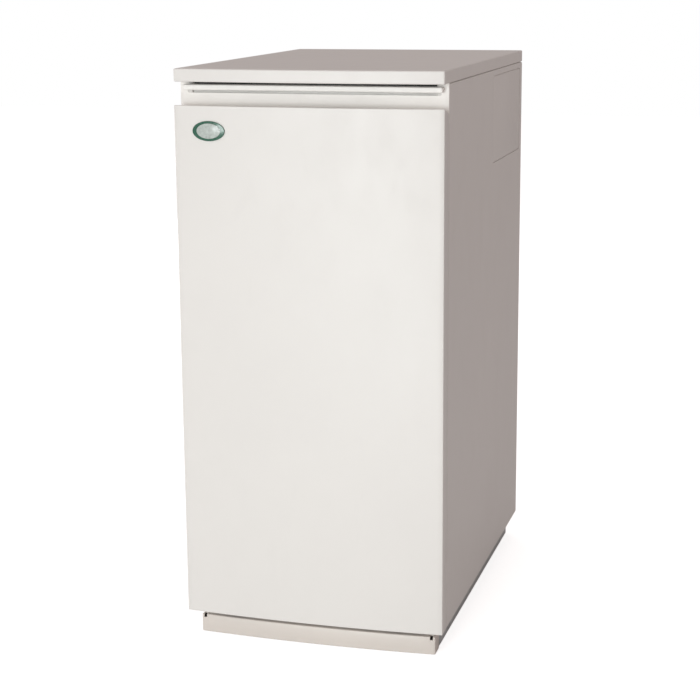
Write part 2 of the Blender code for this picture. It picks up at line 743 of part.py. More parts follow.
    near, far = DRUM_HALF + GAP, PUMP_X - GAP
    low, high, reach = FAN_Z - 116, FAN_Z + 48, 46
    intake = box("air_intake", (near, FAN_Y - reach, low), (far, FAN_Y + reach, high), look["casting"])
    wall = 3
    way = box(
        "intake_way",
        (near + wall, FAN_Y - reach + wall, low - 5),
        (far - wall, FAN_Y + reach - wall, high - wall),
        None,
    )
    eye_hole = rod("intake_eye", (FAN_Y, FAN_Z), 40, near - 5, near + 5, "X", None)
    nose_hole = rod("nose_hole", (FAN_Y, FAN_Z), 17, far - 5, far + 5, "X", None)
    spindle_x, spindle_z = (near + far) / 2, low + 18
    spindle_hole = rod(
        "spindle_hole", (spindle_x, spindle_z), 3.4, FAN_Y - 60, FAN_Y + 60, "Y", None, FINE_ROUND
    )
    cut(intake, way, eye_hole, nose_hole, spindle_hole)
    axle = (spindle_x, FAN_Y, spindle_z)
    front = FAN_Y - reach - 6
    damper = rod(
        "air_damper",
        (spindle_x, spindle_z),
        3,
        front,
        FAN_Y + reach + 1,
        "Y",
        look["galvanised"],
        FINE_ROUND,
        axle,
    )
    flap = box(
        "damper_flap",
        (spindle_x - 11, FAN_Y - 40, spindle_z - 1),
        (spindle_x + 11, FAN_Y + 40, spindle_z + 1),
        None,
    )
    pointer = box(
        "damper_pointer",
        (spindle_x - 4, front - 2, spindle_z - 4),
        (spindle_x + 22, front + 1, spindle_z + 4),
        None,
    )
    join(damper, flap, pointer)
    build_firing_head(look)


def build_impeller(look, axle):
    """A squirrel-cage fan wheel: a back disc and hub, a front ring, and the blades between them."""
    radius, inner, low, high = 66, 50, -26, 24
    wheel = rod("fan_impeller", (FAN_Y, FAN_Z), radius, low, low + 3, "X", look["galvanised"], ROUND, axle)
    hub = rod("fan_hub", (FAN_Y, FAN_Z), 15, low + 1, low + 24, "X", None, FINE_ROUND)
    rim = ring("fan_rim", (FAN_Y, FAN_Z), radius, inner, high - 3, high, "X", None)
    blades = []
    count, half_thick = 24, 0.8
    for i in range(count):
        turn = 2 * math.pi * i / count
        across = Vector((math.cos(turn), math.sin(turn)))
        along = Vector((-across.y, across.x))
        middle = Vector((FAN_Y, FAN_Z))
        corners = [(inner + 2, -1), (radius - 2, -1), (radius - 2, 1), (inner + 2, 1)]
        outline = [
            tuple(middle + across * r + along * (s * half_thick + (r - inner) * 0.35)) for r, s in corners
        ]
        blades.append(prism(f"blade_{i}", outline, low + 1, high - 1, "X", None))
    join(wheel, hub, gather("blades", blades), rim)
    cut(
        wheel, rod("hub_bore", (FAN_Y, FAN_Z), SHAFT_RADIUS + GAP, low - 5, low + 30, "X", None, FINE_ROUND)
    )


def build_firing_head(look):
    """What sits inside the blast tube: nozzle line and nozzle, diffuser disc, and the pair of electrodes."""
    disc_y = 22
    line = rod("nozzle_assembly", (0, BURNER_Z), 5, -112, 6, "Y", look["brass"], FINE_ROUND)
    holder = prism("nozzle_holder", circle(0, BURNER_Z, 10, 6), -10, 8, "Y", None)
    tip = prism("nozzle_tip", circle(0, BURNER_Z, 8, 6), 6, 20, "Y", None)
    branch = rod("nozzle_branch", (-107, BURNER_Z), 4.6, 0, 27, "X", None, FINE_ROUND)
    riser = rod("nozzle_riser", (23, -107), 4.2, BURNER_Z, BURNER_Z + 34, "Z", None, FINE_ROUND)
    join(line, holder, tip, branch, riser)
    disc = ring("diffuser_disc", (0, BURNER_Z), 36, 12, disc_y, disc_y + 2, "Y", look["stainless"])
    slots = []
    for i in range(8):
        turn = math.pi * i / 4
        across = Vector((math.cos(turn), math.sin(turn)))
        along = Vector((-across.y, across.x))
        outline = [
            tuple(Vector((0, BURNER_Z)) + across * r + along * s) for r, s in rectangle(17, 30, -1.5, 1.5)
        ]
        slots.append(prism("disc_slot", outline, disc_y - 5, disc_y + 7, "Y", None))
    cut(disc, gather("disc_slots", slots))
    clamp = box("electrodes", (-19, -42, BURNER_Z + 12), (19, -30, BURNER_Z + 26), look["white_ceramic"])
    for sign in (-1, 1):
        x = sign * 12
        join(clamp, rod("porcelain", (x, BURNER_Z + 19), 5, -70, 2, "Y", None, FINE_ROUND))
        join(clamp, rod("electrode_wire", (x, BURNER_Z + 19), 1.4, -80, 16, "Y", None, 8))


def build_controls(look):
    """The control box behind the door, with its fascia, thermostat knob, switch, limit reset and lamp."""
    low = (-PANEL_HALF, PANEL_FACE + 2 + GAP, PANEL_LOW)
    pan("control_box", low, (PANEL_HALF, PANEL_BACK, PANEL_HIGH), "-Y", look["galvanised"], 1.2)
    face_low = (-PANEL_HALF, PANEL_FACE, PANEL_LOW)
    fascia = box("control_fascia", face_low, (PANEL_HALF, PANEL_FACE + 2, PANEL_HIGH), look["grey_plastic"])
    behind = PANEL_FACE + 14
    low, high = (SWITCH_X - 11, PANEL_FACE - 5, CONTROL_Z - 15), (SWITCH_X + 11, behind, CONTROL_Z + 15)
    switch_hole = box("switch_hole", low, high, None)
    reset_hole = rod("reset_hole", (RESET_X, CONTROL_Z), 6.5, PANEL_FACE - 5, behind, "Y", None, FINE_ROUND)
    lamp_hole = rod("lamp_hole", (LAMP_X, CONTROL_Z), 6, PANEL_FACE - 5, behind, "Y", None, FINE_ROUND)
    knob_hole = rod("knob_hole", (KNOB_X, CONTROL_Z), 4, PANEL_FACE - 5, behind, "Y", None, FINE_ROUND)
    cut(fascia, switch_hole, reset_hole, lamp_hole, knob_hole)

    knob_at = (KNOB_X, PANEL_FACE, CONTROL_Z)
    knob_front, knob_back = PANEL_FACE - 18, PANEL_FACE - 1
    knob = rod(
        "thermostat_knob",
        (KNOB_X, CONTROL_Z),
        21,
        knob_front,
        knob_back,
        "Y",
        look["black_plastic"],
        ROUND,
        knob_at,
    )
    grip = box(
        "knob_grip",
        (KNOB_X - 4, knob_front - 6, CONTROL_Z - 19),
        (KNOB_X + 4, knob_front + 3, CONTROL_Z + 19),
        None,
    )
    spindle = rod(
        "knob_spindle", (KNOB_X, CONTROL_Z), 3, knob_back - 2, PANEL_FACE + 12, "Y", None, FINE_ROUND
    )
    join(knob, grip, spindle)

    rocker_at = (SWITCH_X, PANEL_FACE + 2, CONTROL_Z)
    tilt = math.radians(9)
    profile = [(-13, -4.5), (0, -2), (13, -4.5), (13, 5), (-13, 5)]
    outline = []
    for z, y in profile:
        turned = (y * math.cos(tilt) - z * math.sin(tilt), y * math.sin(tilt) + z * math.cos(tilt))
        outline.append((rocker_at[1] + turned[0], rocker_at[2] + turned[1]))
    prism("power_switch", outline, SWITCH_X - 10, SWITCH_X + 10, "X", look["red_plastic"], rocker_at)

    button_at = (RESET_X, PANEL_FACE, CONTROL_Z)
    rod(
        "limit_reset_button",
        (RESET_X, CONTROL_Z),
        6,
        PANEL_FACE - 5,
        PANEL_FACE + 8,
        "Y",
        look["black_plastic"],
        FINE_ROUND,
        button_at,
    )
    lamp = rod(
        "lockout_lamp",
        (LAMP_X, CONTROL_Z),
        5.6,
        PANEL_FACE - 3,
        PANEL_FACE + 10,
        "Y",
        look["red_plastic"],
        FINE_ROUND,
    )
    join(
        lamp,
        rod("lamp_bezel", (LAMP_X, CONTROL_Z), 8, PANEL_FACE - 2, PANEL_FACE - GAP, "Y", None, FINE_ROUND),
    )

    pocket_y = JACKET_FRONT - GAP
    capillary = [
        (60, PANEL_BACK - 30, PANEL_LOW - GAP),
        (60, PANEL_BACK - 28, 668),
        (48, PANEL_BACK - 12, 640),
        (40, pocket_y - 30, 612),
        (40, pocket_y - 22, 604),
        (40, pocket_y - 12, 600),
        (40, pocket_y, 600),
    ]
    pipe("thermostat_phial", capillary, 3, look["copper"])


def build_services(look):
    """The oil line with its valve, the drain valve and the cable gland."""
    rod("oil_inlet_pipe", (OIL_X, OIL_Z), 5, VALVE_Y + 22, STUB_END, "Y", look["copper"], FINE_ROUND)
    valve_end = VALVE_Y + 22 - GAP
    valve = rod("oil_valve", (OIL_X, OIL_Z), 10, VALVE_Y - 20, valve_end, "Y", look["brass"], 6)
    stem = rod("valve_stem", (OIL_X, VALVE_Y), 7, OIL_Z, OIL_Z + 18, "Z", None, FINE_ROUND)
    join(valve, stem)
    lever_at = (OIL_X, VALVE_Y, OIL_Z + 18)
    hub_low, hub_high = OIL_Z + 18 + GAP, OIL_Z + 25
    lever = rod(
        "oil_valve_lever",
        (OIL_X, VALVE_Y),
        8,
        hub_low,
        hub_high,
        "Z",
        look["red_plastic"],
        FINE_ROUND,
        lever_at,
    )
    join(
        lever,
        box("lever_arm", (OIL_X - 5, VALVE_Y, hub_low + 1), (OIL_X + 5, VALVE_Y + 52, hub_high - 1), None),
    )
    pump_inlet = (PUMP_X + 40, FAN_Y, FAN_Z - 46 - GAP)
    feed = [
        (OIL_X, VALVE_Y - 20 - 2 * GAP, OIL_Z),
        (OIL_X, VALVE_Y - 34, OIL_Z),
        (OIL_X - 2, VALVE_Y - 45, OIL_Z + 14),
        (OIL_X - 10, VALVE_Y - 40, OIL_Z + 60),
        (OIL_X - 38, VALVE_Y - 16, OIL_Z + 110),
        (PUMP_X + 44, FAN_Y - 4, FAN_Z - 90),
        (PUMP_X + 40, FAN_Y, FAN_Z - 66),
        pump_inlet,
    ]
    pipe("oil_feed_pipe", feed, 5, look["copper"], 3)

    drain_x, drain_z = 122, 100
    drain_end = JACKET_FRONT - 30
    drain = rod("drain_valve", (drain_x, drain_z), 10, drain_end, JACKET_FRONT - GAP, "Y", look["brass"], 6)
    join(
        drain, rod("drain_nose", (drain_x, drain_end + 10), 6, drain_z - 24, drain_z, "Z", None, FINE_ROUND)
    )
    cut(
        drain,
        rod("drain_bore", (drain_x, drain_z), 4.4, drain_end - 5, drain_end + 14, "Y", None, FINE_ROUND),
    )
    spindle_at = (drain_x, drain_end, drain_z)
    spindle = rod(
        "drain_spindle",
        (drain_x, drain_z),
        4,
        drain_end - 6,
        drain_end + 12,
        "Y",
        look["brass"],
        FINE_ROUND,
        spindle_at,
    )
    square = rectangle(drain_x - 4.5, drain_x + 4.5, drain_z - 4.5, drain_z + 4.5)
    join(spindle, prism("spindle_square", square, drain_end - 16, drain_end - 5, "Y", None))

    gland_low = BACK - 16
    gland = rod(
        "cable_gland", (OIL_X, 100), 10, gland_low, BACK + 20, "Y", look["black_plastic"], FINE_ROUND
    )
    nut = prism("gland_nut", circle(OIL_X, 100, 14, 6), BACK - SHEET, BACK + 8, "Y", None)
    locknut = prism(
        "gland_locknut", circle(OIL_X, 100, 14, 6), gland_low, BACK - 2 * SHEET - 2 * GAP, "Y", None
    )
    cut(
        join(gland, nut, locknut),
        rod("gland_bore", (OIL_X, 100), 4.5, gland_low - 5, BACK + 25, "Y", None, FINE_ROUND),
    )


def main():
    clear_scene()
    look = make_materials()
    build_base(look)
    build_side_panels(look)
    build_back_panel(look)
    build_header(look)
    build_door(look)
    build_lid(look)
    build_boiler(look)
    build_flue(look)
    build_burner_door(look)
    build_burner(look)
    build_controls(look)
    build_services(look)


main()
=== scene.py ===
"""Looks for the floor-standing oil boiler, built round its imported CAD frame.

The frame: +X is the right of someone facing the door, +Y runs to the back, +Z is up, in metres.
Most places come from the boxes of the CAD nodes, and each piece rides on the CAD body that it belongs to.
"""

import json
import math

import bmesh
import bpy
from mathutils import Matrix, Vector


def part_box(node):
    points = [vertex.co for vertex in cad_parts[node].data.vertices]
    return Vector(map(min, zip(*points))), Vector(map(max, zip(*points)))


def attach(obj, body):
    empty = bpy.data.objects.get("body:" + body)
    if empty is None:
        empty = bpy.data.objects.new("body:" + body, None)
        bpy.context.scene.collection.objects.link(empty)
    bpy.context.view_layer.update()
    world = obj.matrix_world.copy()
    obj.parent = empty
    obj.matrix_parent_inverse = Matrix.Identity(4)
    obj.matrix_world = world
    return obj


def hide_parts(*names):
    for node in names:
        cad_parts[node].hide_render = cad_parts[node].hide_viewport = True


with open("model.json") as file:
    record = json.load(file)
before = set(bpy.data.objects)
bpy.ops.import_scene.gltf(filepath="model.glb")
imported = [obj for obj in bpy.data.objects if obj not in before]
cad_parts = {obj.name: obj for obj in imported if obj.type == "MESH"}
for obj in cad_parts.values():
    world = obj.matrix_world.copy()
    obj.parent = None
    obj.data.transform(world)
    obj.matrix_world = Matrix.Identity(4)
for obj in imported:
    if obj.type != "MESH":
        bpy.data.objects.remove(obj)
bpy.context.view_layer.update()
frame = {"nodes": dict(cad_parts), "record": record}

MM = 0.001
SHEET = 1.2  # wall of the painted pans, in mm
THROUGH = 5  # how far a cutter reaches past the face that it opens, in mm
SHARP = math.radians(32)  # an edge above this stays crisp where surfaces are shaded smooth
AXES = {"X": Vector((1, 0, 0)), "Y": Vector((0, 1, 0)), "Z": Vector((0, 0, 1))}


# ---------------------------------------------------------------- materials


def add_node(tree, kind, sockets=(), **settings):
    """A node with its settings, and its sockets filled with values or linked to outputs."""
    made = tree.nodes.new(kind)
    for key, value in settings.items():
        setattr(made, key, value)
    for key, value in dict(sockets).items():
        if isinstance(value, bpy.types.NodeSocket):
            tree.links.new(value, made.inputs[key])
        else:
            made.inputs[key].default_value = value
    return made


class Graph:
    """A material's nodes, with its Principled shader."""

    def __init__(self, name):
        self.material = bpy.data.materials.new(name)
        self.material.use_nodes = True
        self.tree = self.material.node_tree
        self.shader = self.tree.nodes["Principled BSDF"]
        self.place = self.node("ShaderNodeTexCoord").outputs["Object"]

    def node(self, kind, sockets=(), **settings):
        return add_node(self.tree, kind, sockets, **settings)

    def link(self, source, target):
        self.tree.links.new(source, target)

    def stretched(self, scale):
        """Object coordinates scaled along each axis."""
        return self.node("ShaderNodeMapping", {"Scale": scale, "Vector": self.place}).outputs["Vector"]

    def noise(self, scale, detail=4, roughness=0.55, at=None, distortion=0):
        sockets = {"Scale": scale, "Detail": detail, "Roughness": roughness, "Distortion": distortion}
        return self.node("ShaderNodeTexNoise", {**sockets, "Vector": at or self.place}).outputs["Fac"]

    def cells(self, scale, feature="F1", at=None, output="Distance"):
        sockets = {"Scale": scale, "Vector": at or self.place}
        return self.node("ShaderNodeTexVoronoi", sockets, feature=feature).outputs[output]

    def remap(self, source, low, high, start=0.3, end=0.7):
        sockets = {"From Min": start, "From Max": end, "To Min": low, "To Max": high, "Value": source}
        return self.node("ShaderNodeMapRange", sockets).outputs["Result"]

    def blend(self, factor, first, second):
        made = self.node("ShaderNodeMix", data_type="RGBA")
        self.link(factor, made.inputs["Factor"])
        for socket, value in (("A", first), ("B", second)):
            place = next(s for s in made.inputs if s.name == socket and s.type == "RGBA")
            if hasattr(value, "links"):
                self.link(value, place)
            else:
                place.default_value = (*value, 1)
        return next(s for s in made.outputs if s.type == "RGBA")

    def bump(self, height, depth, onto=None):
        """Adds relief of that depth in metres, on top of an earlier one."""
        made = self.node("ShaderNodeBump", {"Strength": 1, "Distance": depth, "Height": height})
        if onto:
            self.link(onto, made.inputs["Normal"])
        self.link(made.outputs["Normal"], self.shader.inputs["Normal"])
        return made.outputs["Normal"]

    def set(self, **values):
        for key, value in values.items():
            self.shader.inputs[key.replace("_", " ")].default_value = value

    def colour(self, output):
        self.link(output, self.shader.inputs["Base Color"])

    def roughness(self, output):
        self.link(output, self.shader.inputs["Roughness"])


def shade(colour, factor):
    return tuple(min(1, c * factor) for c in colour)


def powder_coat(name, colour, low=0.34, high=0.46, peel=0.00004):
    """Baked powder paint on sheet: a fine orange peel, faint clouding, and a film of handling marks."""
    g = Graph(name)
    cloud = g.noise(3.2, 5, 0.6)
    marks = g.noise(26, 6, 0.7, g.stretched((1, 1, 0.45)), 0.6)
    base = g.blend(g.remap(cloud, 0, 1), shade(colour, 0.982), shade(colour, 1.01))
    g.colour(g.blend(g.remap(marks, 0, 0.5, 0.56, 0.8), base, shade(colour, 0.965)))
    g.roughness(g.remap(marks, low, high))
    relief = g.bump(g.cells(420, "SMOOTH_F1"), peel)
    g.bump(g.noise(950, 2), peel * 0.4, relief)
    g.set(IOR=1.48)
    return g.material


def zinc_sheet(name, colour=(0.60, 0.62, 0.63)):
    """Hot-dip zinc: large soft crystals of slightly different brightness, and a dulled skin."""
    g = Graph(name)
    tone = g.node("ShaderNodeSeparateColor", {"Color": g.cells(70, output="Color")})
    dull = g.noise(9, 6, 0.65)
    crystals = g.blend(g.remap(tone.outputs["Red"], 0, 1, 0, 1), shade(colour, 0.84), shade(colour, 1.12))
    g.colour(g.blend(g.remap(dull, 0, 0.55), crystals, (0.52, 0.52, 0.51)))
    g.roughness(g.remap(tone.outputs["Green"], 0.3, 0.5, 0, 1))
    g.bump(g.noise(300, 3), 0.00002)
    g.set(Metallic=0.85)
    return g.material


def metal(name, colour, tarnish, low, high, scale=14, stretch=(1, 1, 1), grain=180, depth=0.00003, share=0.6):
    """Bare metal with a tarnish that gathers in patches, and a grain that can run one way."""
    g = Graph(name)
    patches = g.noise(scale, 6, 0.65, distortion=0.4)
    fine = g.noise(grain, 4, 0.6, g.stretched(stretch))
    g.colour(g.blend(g.remap(patches, 0, share, 0.42, 0.72), colour, tarnish))
    g.roughness(g.remap(fine, low, high))
    g.bump(fine, depth)
    g.set(Metallic=1)
    return g.material


def casting(name, colour=(0.50, 0.51, 0.52)):
    """Die-cast aluminium: a grey skin, flow marks and a fine pitted grain."""
    g = Graph(name)
    flow = g.noise(22, 5, 0.6, distortion=1.2)
    pits = g.cells(900)
    g.colour(g.blend(g.remap(flow, 0, 1), shade(colour, 0.82), shade(colour, 1.1)))
    g.roughness(g.remap(flow, 0.42, 0.6))
    relief = g.bump(pits, 0.00006)
    g.bump(g.noise(120, 4), 0.00008, relief)
    g.set(Metallic=0.85)
    return g.material


def plate_paint(name, colour=(0.055, 0.058, 0.062)):
    """Heat-resisting paint brushed over hot-rolled plate, with a little rust bloom."""
    g = Graph(name)
    bloom = g.noise(18, 8, 0.7)
    scale = g.noise(90, 5, 0.6)
    base = g.blend(g.remap(scale, 0, 1), shade(colour, 0.75), shade(colour, 1.5))
    g.colour(g.blend(g.remap(bloom, 0, 0.6, 0.62, 0.78), base, (0.16, 0.075, 0.04)))
    g.roughness(g.remap(bloom, 0.5, 0.78))
    g.bump(scale, 0.00018)
    g.set(Metallic=0.1)
    return g.material


def plastic(name, colour, low, high, grain=1100, depth=0.00002):
    """Moulded plastic with an etched grain and slightly polished high spots."""
    g = Graph(name)
    wear = g.noise(34, 5, 0.65)
    g.colour(g.blend(g.remap(wear, 0, 1), shade(colour, 0.88), shade(colour, 1.12)))
    g.roughness(g.remap(wear, low, high))
    g.bump(g.cells(grain, "SMOOTH_F1"), depth)
    g.set(IOR=1.5)
    return g.material


def fibre(name, colour, second, scale=240, depth=0.0006):
    """Insulation: matted fibres."""
    g = Graph(name)
    tangle = g.noise(scale, 8, 0.75, g.stretched((1, 1, 2.2)), 2.0)
    stain = g.noise(7, 5, 0.6)
    base = g.blend(g.remap(tangle, 0, 1), shade(colour, 0.78), colour)
    g.colour(g.blend(g.remap(stain, 0, 0.45, 0.5, 0.75), base, second))
    g.set(Roughness=0.95, Specular_IOR_Level=0.2)
    g.bump(tangle, depth)
    return g.material


def foil(name):
    """Aluminium foil facing, crumpled and creased."""
    g = Graph(name)
    crumple = g.cells(38, at=g.stretched((1, 1, 0.8)))
    crease = g.noise(60, 6, 0.65, distortion=1.5)
    g.colour(g.blend(g.remap(crease, 0, 1), (0.62, 0.62, 0.61), (0.78, 0.78, 0.77)))
    g.roughness(g.remap(crease, 0.22, 0.42))
    relief = g.bump(crumple, 0.0012)
    g.bump(crease, 0.0008, relief)
    g.set(Metallic=0.95)
    return g.material


def stone(name, colour, fleck, scale=160, depth=0.0004):
    """Cast refractory or fired ceramic with flecks and pores."""
    g = Graph(name)
    flecks = g.cells(scale)
    cloud = g.noise(20, 6, 0.6)
    base = g.blend(g.remap(cloud, 0, 1), shade(colour, 0.85), colour)
    g.colour(g.blend(g.remap(flecks, 0.6, 0, 0.05, 0.3), base, fleck))
    g.roughness(g.remap(cloud, 0.7, 0.95))
    g.bump(g.noise(scale * 2, 6, 0.7), depth)
    return g.material


def enamel(name, colour, roughness=0.14):
    """Glossy vitreous colour with a slight unevenness."""
    g = Graph(name)
    pool = g.noise(260, 4, 0.6)
    g.colour(g.blend(g.remap(pool, 0, 1), shade(colour, 0.8), shade(colour, 1.15)))
    g.roughness(g.remap(pool, roughness, roughness + 0.1))
    g.bump(g.noise(420, 2), 0.00002)
    g.set(Coat_Weight=0.5, Coat_Roughness=0.05)
    return g.material


WHITE = (0.83, 0.805, 0.775)
LOOKS = {
    "white_paint": powder_coat("white_powder_coat", WHITE),
    # The header's white made brighter than the rest: painted light for the recess behind the door's top.
    "header_paint_painted_light": powder_coat("header_powder_coat_painted_light", shade(WHITE, 1.16)),
    # A darker, warmer copy of the white paint for the plinth: painted shade under the door.
    "plinth_paint_painted_shade": powder_coat("plinth_powder_coat_painted_shade", (0.74, 0.68, 0.63)),
    "hood_steel": metal("heat_dulled_sheet", (0.30, 0.29, 0.28), (0.16, 0.13, 0.11), 0.5, 0.7, 7, grain=120),
    "black_paint": powder_coat("black_satin_paint", (0.022, 0.023, 0.025), 0.38, 0.55, 0.00005),
    "galvanised": zinc_sheet("zinc_coated_sheet"),
    "boiler_steel": plate_paint("boiler_plate_paint"),
    "insulation": fibre("mineral_fibre", (0.55, 0.50, 0.36), (0.34, 0.30, 0.22)),
    "foil": foil("foil_facing"),
    "stainless": metal(
        "stainless_sheet", (0.60, 0.59, 0.57), (0.36, 0.32, 0.28), 0.22, 0.42, 8, (1, 12, 1), 90
    ),
    "brass": metal("machined_brass", (0.78, 0.56, 0.24), (0.42, 0.28, 0.12), 0.2, 0.4, 40, grain=300),
    "copper": metal("copper_pipe", (0.78, 0.38, 0.24), (0.34, 0.17, 0.12), 0.22, 0.44, 30, grain=220),
    "steel": metal("zinc_plated_steel", (0.58, 0.57, 0.54), (0.40, 0.36, 0.28), 0.24, 0.42, 60),
    "casting": casting("die_cast_aluminium"),
    "black_plastic": plastic("black_moulding", (0.022, 0.022, 0.024), 0.36, 0.52),
    "grey_plastic": plastic("grey_moulding", (0.16, 0.165, 0.17), 0.42, 0.58),
    "red_plastic": plastic("red_moulding", (0.52, 0.025, 0.018), 0.18, 0.32, 700, 0.00001),
    "white_ceramic": stone("ceramic_and_refractory", (0.74, 0.70, 0.62), (0.42, 0.38, 0.33)),
    "badge_silver": enamel("silver_enamel", (0.50, 0.55, 0.52), 0.3),
    "badge_green": enamel("green_enamel", (0.035, 0.13, 0.085)),
    "rubber": plastic("black_rubber", (0.012, 0.012, 0.012), 0.6, 0.8),
    "white_print": plastic("white_print", (0.75, 0.75, 0.74), 0.4, 0.55),
}


# ---------------------------------------------------------------- shapes


def mm_box(node):
    """The corners of a CAD node's box, in millimetres."""
    low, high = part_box(node)
    return Vector(low) / MM, Vector(high) / MM


def middle(node):
    low, high = mm_box(node)
    return (low + high) / 2


def basis(axis):
    """Two directions across an axis, so that first x second = axis."""
    along = AXES[axis] if isinstance(axis, str) else Vector(axis).normalized()
    first = along.orthogonal().normalized()
    if isinstance(axis, str):
        first = AXES["XYZ"[("XYZ".index(axis) + 1) % 3]]
    return along, first, along.cross(first)


class Piece:
    """Collects closed shapes, given in millimetres, into one mesh."""

    def __init__(self):
        self.shape = bmesh.new()

    def faces_of(self, vertices, faces):
        corners = [self.shape.verts.new(Vector(v) * MM) for v in vertices]
        return [self.shape.faces.new([corners[i] for i in face]) for face in faces]

    def prism(self, outline, low, high, axis="Z", edge=0, steps=2):
        """An outline swept along an axis: (y, z) for X, (x, z) for Y, (x, y) for Z. edge rounds its rims."""
        count = len(outline)
        spot = {"X": 0, "Y": 1, "Z": 2}[axis]
        flat = [(a, b, c) for c in (low, high) for a, b in outline]
        vertices = [(*point[:spot], point[2], *point[spot:2]) for point in flat]
        sides = [(i, (i + 1) % count, (i + 1) % count + count, i + count) for i in range(count)]
        made = self.faces_of(vertices, sides + [tuple(range(count)), tuple(range(count, 2 * count))])
        bmesh.ops.recalc_face_normals(self.shape, faces=made)
        if edge:
            rims = {e for face in made[-2:] for e in face.edges}
            sharp = {e for face in made for e in face.edges if e.calc_face_angle(0) > math.radians(40)}
            size = {"offset": edge * MM, "segments": steps, "profile": 0.5}
            bmesh.ops.bevel(self.shape, geom=list(rims | sharp), affect="EDGES", **size)
        return self

    def block(self, low, high, edge=0.8, steps=2):
        outline = [(low[0], low[1]), (high[0], low[1]), (high[0], high[1]), (low[0], high[1])]
        return self.prism(outline, low[2], high[2], "Z", edge, steps)

    def stack(self, outlines, levels):
        """Plan outlines with the same number of points, one above the other, joined into one solid."""
        count = len(outlines[0])
        vertices = [(x, y, z) for outline, z in zip(outlines, levels) for x, y in outline]
        faces = [tuple(range(count)), tuple(range(len(vertices) - count, len(vertices)))]
        for start in range(0, len(vertices) - count, count):
            for i in range(count):
                j = (i + 1) % count
                faces.append((start + i, start + j, start + j + count, start + i + count))
        bmesh.ops.recalc_face_normals(self.shape, faces=self.faces_of(vertices, faces))
        return self

    def lathe(self, centre, axis, profile, sides=40):
        """A profile of (radius, distance along the axis) turned about the axis. It closes on itself."""
        along, first, second = basis(axis)
        rings = []
        for radius, reach in profile:
            hub = (Vector(centre) + along * reach) * MM
            if radius <= 0:
                rings.append([self.shape.verts.new(hub)])
                continue
            ring = []
            for i in range(sides):
                turn = 2 * math.pi * i / sides
                across = first * math.cos(turn) + second * math.sin(turn)
                ring.append(self.shape.verts.new(hub + across * radius * MM))
            rings.append(ring)
        closed = len(rings[0]) > 1 and len(rings[-1]) > 1
        pairs = list(zip(rings, rings[1:] + rings[:1])) if closed else list(zip(rings, rings[1:]))
        made = []
        for low, high in pairs:
            for i in range(sides):
                j = (i + 1) % sides
                corners = [low[i % len(low)], low[j % len(low)], high[j % len(high)], high[i % len(high)]]
                made.append(self.shape.faces.new(list(dict.fromkeys(corners))))
        bmesh.ops.recalc_face_normals(self.shape, faces=made)
        return self

    def rod(self, centre, axis, radius, low, high, edge=0.6, sides=32):
        """A solid bar with rounded ends."""
        rim, turn = radius - edge, radius - edge * 0.3
        profile = [(0, low), (rim, low), (turn, low + edge * 0.3), (radius, low + edge)]
        profile += [(radius, high - edge), (turn, high - edge * 0.3), (rim, high), (0, high)]
        return self.lathe(centre, axis, profile, sides)

    def hexagon(self, centre, axis, across, low, high):
        """A nut or bolt head with chamfered corners. across is its size over flats."""
        radius = across / math.sqrt(3)
        flat = across / 2
        profile = [(0, low), (flat, low), (radius, low + 0.9), (radius, high - 0.9), (flat, high), (0, high)]
        return self.lathe(centre, axis, profile, 6)

    def bolt(self, centre, axis, across=10):
        """A washer and a hexagon head that stand on the face at centre."""
        washer = across * 0.78
        self.rod(centre, axis, washer, 0, 1.4, 0.3, 24)
        return self.hexagon(centre, axis, across, 1.4, 1.4 + across * 0.55)

    def tube(self, points, radius, sides=16):
        """A round bar along a smooth curve through the points."""
        route = smooth_route(points)
        directions = [(b - a).normalized() for a, b in zip(route, route[1:])]
        directions.append(directions[-1])
        across = directions[0].orthogonal().normalized()
        rings = []
        for place, along in zip(route, directions):
            across = (across - along * across.dot(along)).normalized()
            other = along.cross(across)
            ring = []
            for i in range(sides):
                turn = 2 * math.pi * i / sides
                offset = across * math.cos(turn) + other * math.sin(turn)
                ring.append(self.shape.verts.new((place + offset * radius) * MM))
            rings.append(ring)
        made = []
        for low, high in zip(rings, rings[1:]):
            for i in range(sides):
                j = (i + 1) % sides
                made.append(self.shape.faces.new([low[i], low[j], high[j], high[i]]))
        made.append(self.shape.faces.new(rings[0]))
        made.append(self.shape.faces.new(rings[-1]))
        bmesh.ops.recalc_face_normals(self.shape, faces=made)
        return self

    def placed(self, name):
        """Makes what is collected an object of the scene."""
        mesh = bpy.data.meshes.new(name)
        self.shape.to_mesh(mesh)
        self.shape.free()
        made = bpy.data.objects.new(name, mesh)
        bpy.context.scene.collection.objects.link(made)
        return made

    def finish(self, name, look, stands_for=(), slot=None, body="case", bevel=0, steps=2, angle=SHARP):
        """Makes the piece, which rides on a CAD body and can stand for CAD nodes. bevel is in millimetres."""
        made = self.placed(name)
        made.data.materials.append(LOOKS[look])
        smooth(made.data, angle)
        if bevel:
            round_edges(made, bevel, steps)
        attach(made, body)
        if stands_for:
            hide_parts(*stands_for)
        return made


def smooth(mesh, angle=SHARP):
    """Smooth shading that stays crisp across edges sharper than the angle."""
    mesh.shade_smooth()
    mesh.set_sharp_from_angle(angle=angle)


def smooth_route(points, steps=8):
    """Points along a Catmull-Rom curve through the given ones."""
    knots = [Vector(p) for p in points]
    knots = [2 * knots[0] - knots[1], *knots, 2 * knots[-1] - knots[-2]]
    route = []
    for a, b, c, d in zip(knots, knots[1:], knots[2:], knots[3:]):
        for i in range(steps):
            t = i / steps
            bend, twist = 2 * a - 5 * b + 4 * c - d, 3 * b - a - 3 * c + d
            route.append(0.5 * (2 * b + (c - a) * t + bend * t**2 + twist * t**3))
    return [*route, knots[-2]]


def round_edges(made, width, steps=2, angle=35):
    """Rounds every edge sharper than the angle. width is in millimetres."""
    bevel = made.modifiers.new("round", "BEVEL")
    bevel.width = width * MM
    bevel.segments = steps
    bevel.limit_method = "ANGLE"
    bevel.angle_limit = math.radians(angle)
    bevel.harden_normals = True


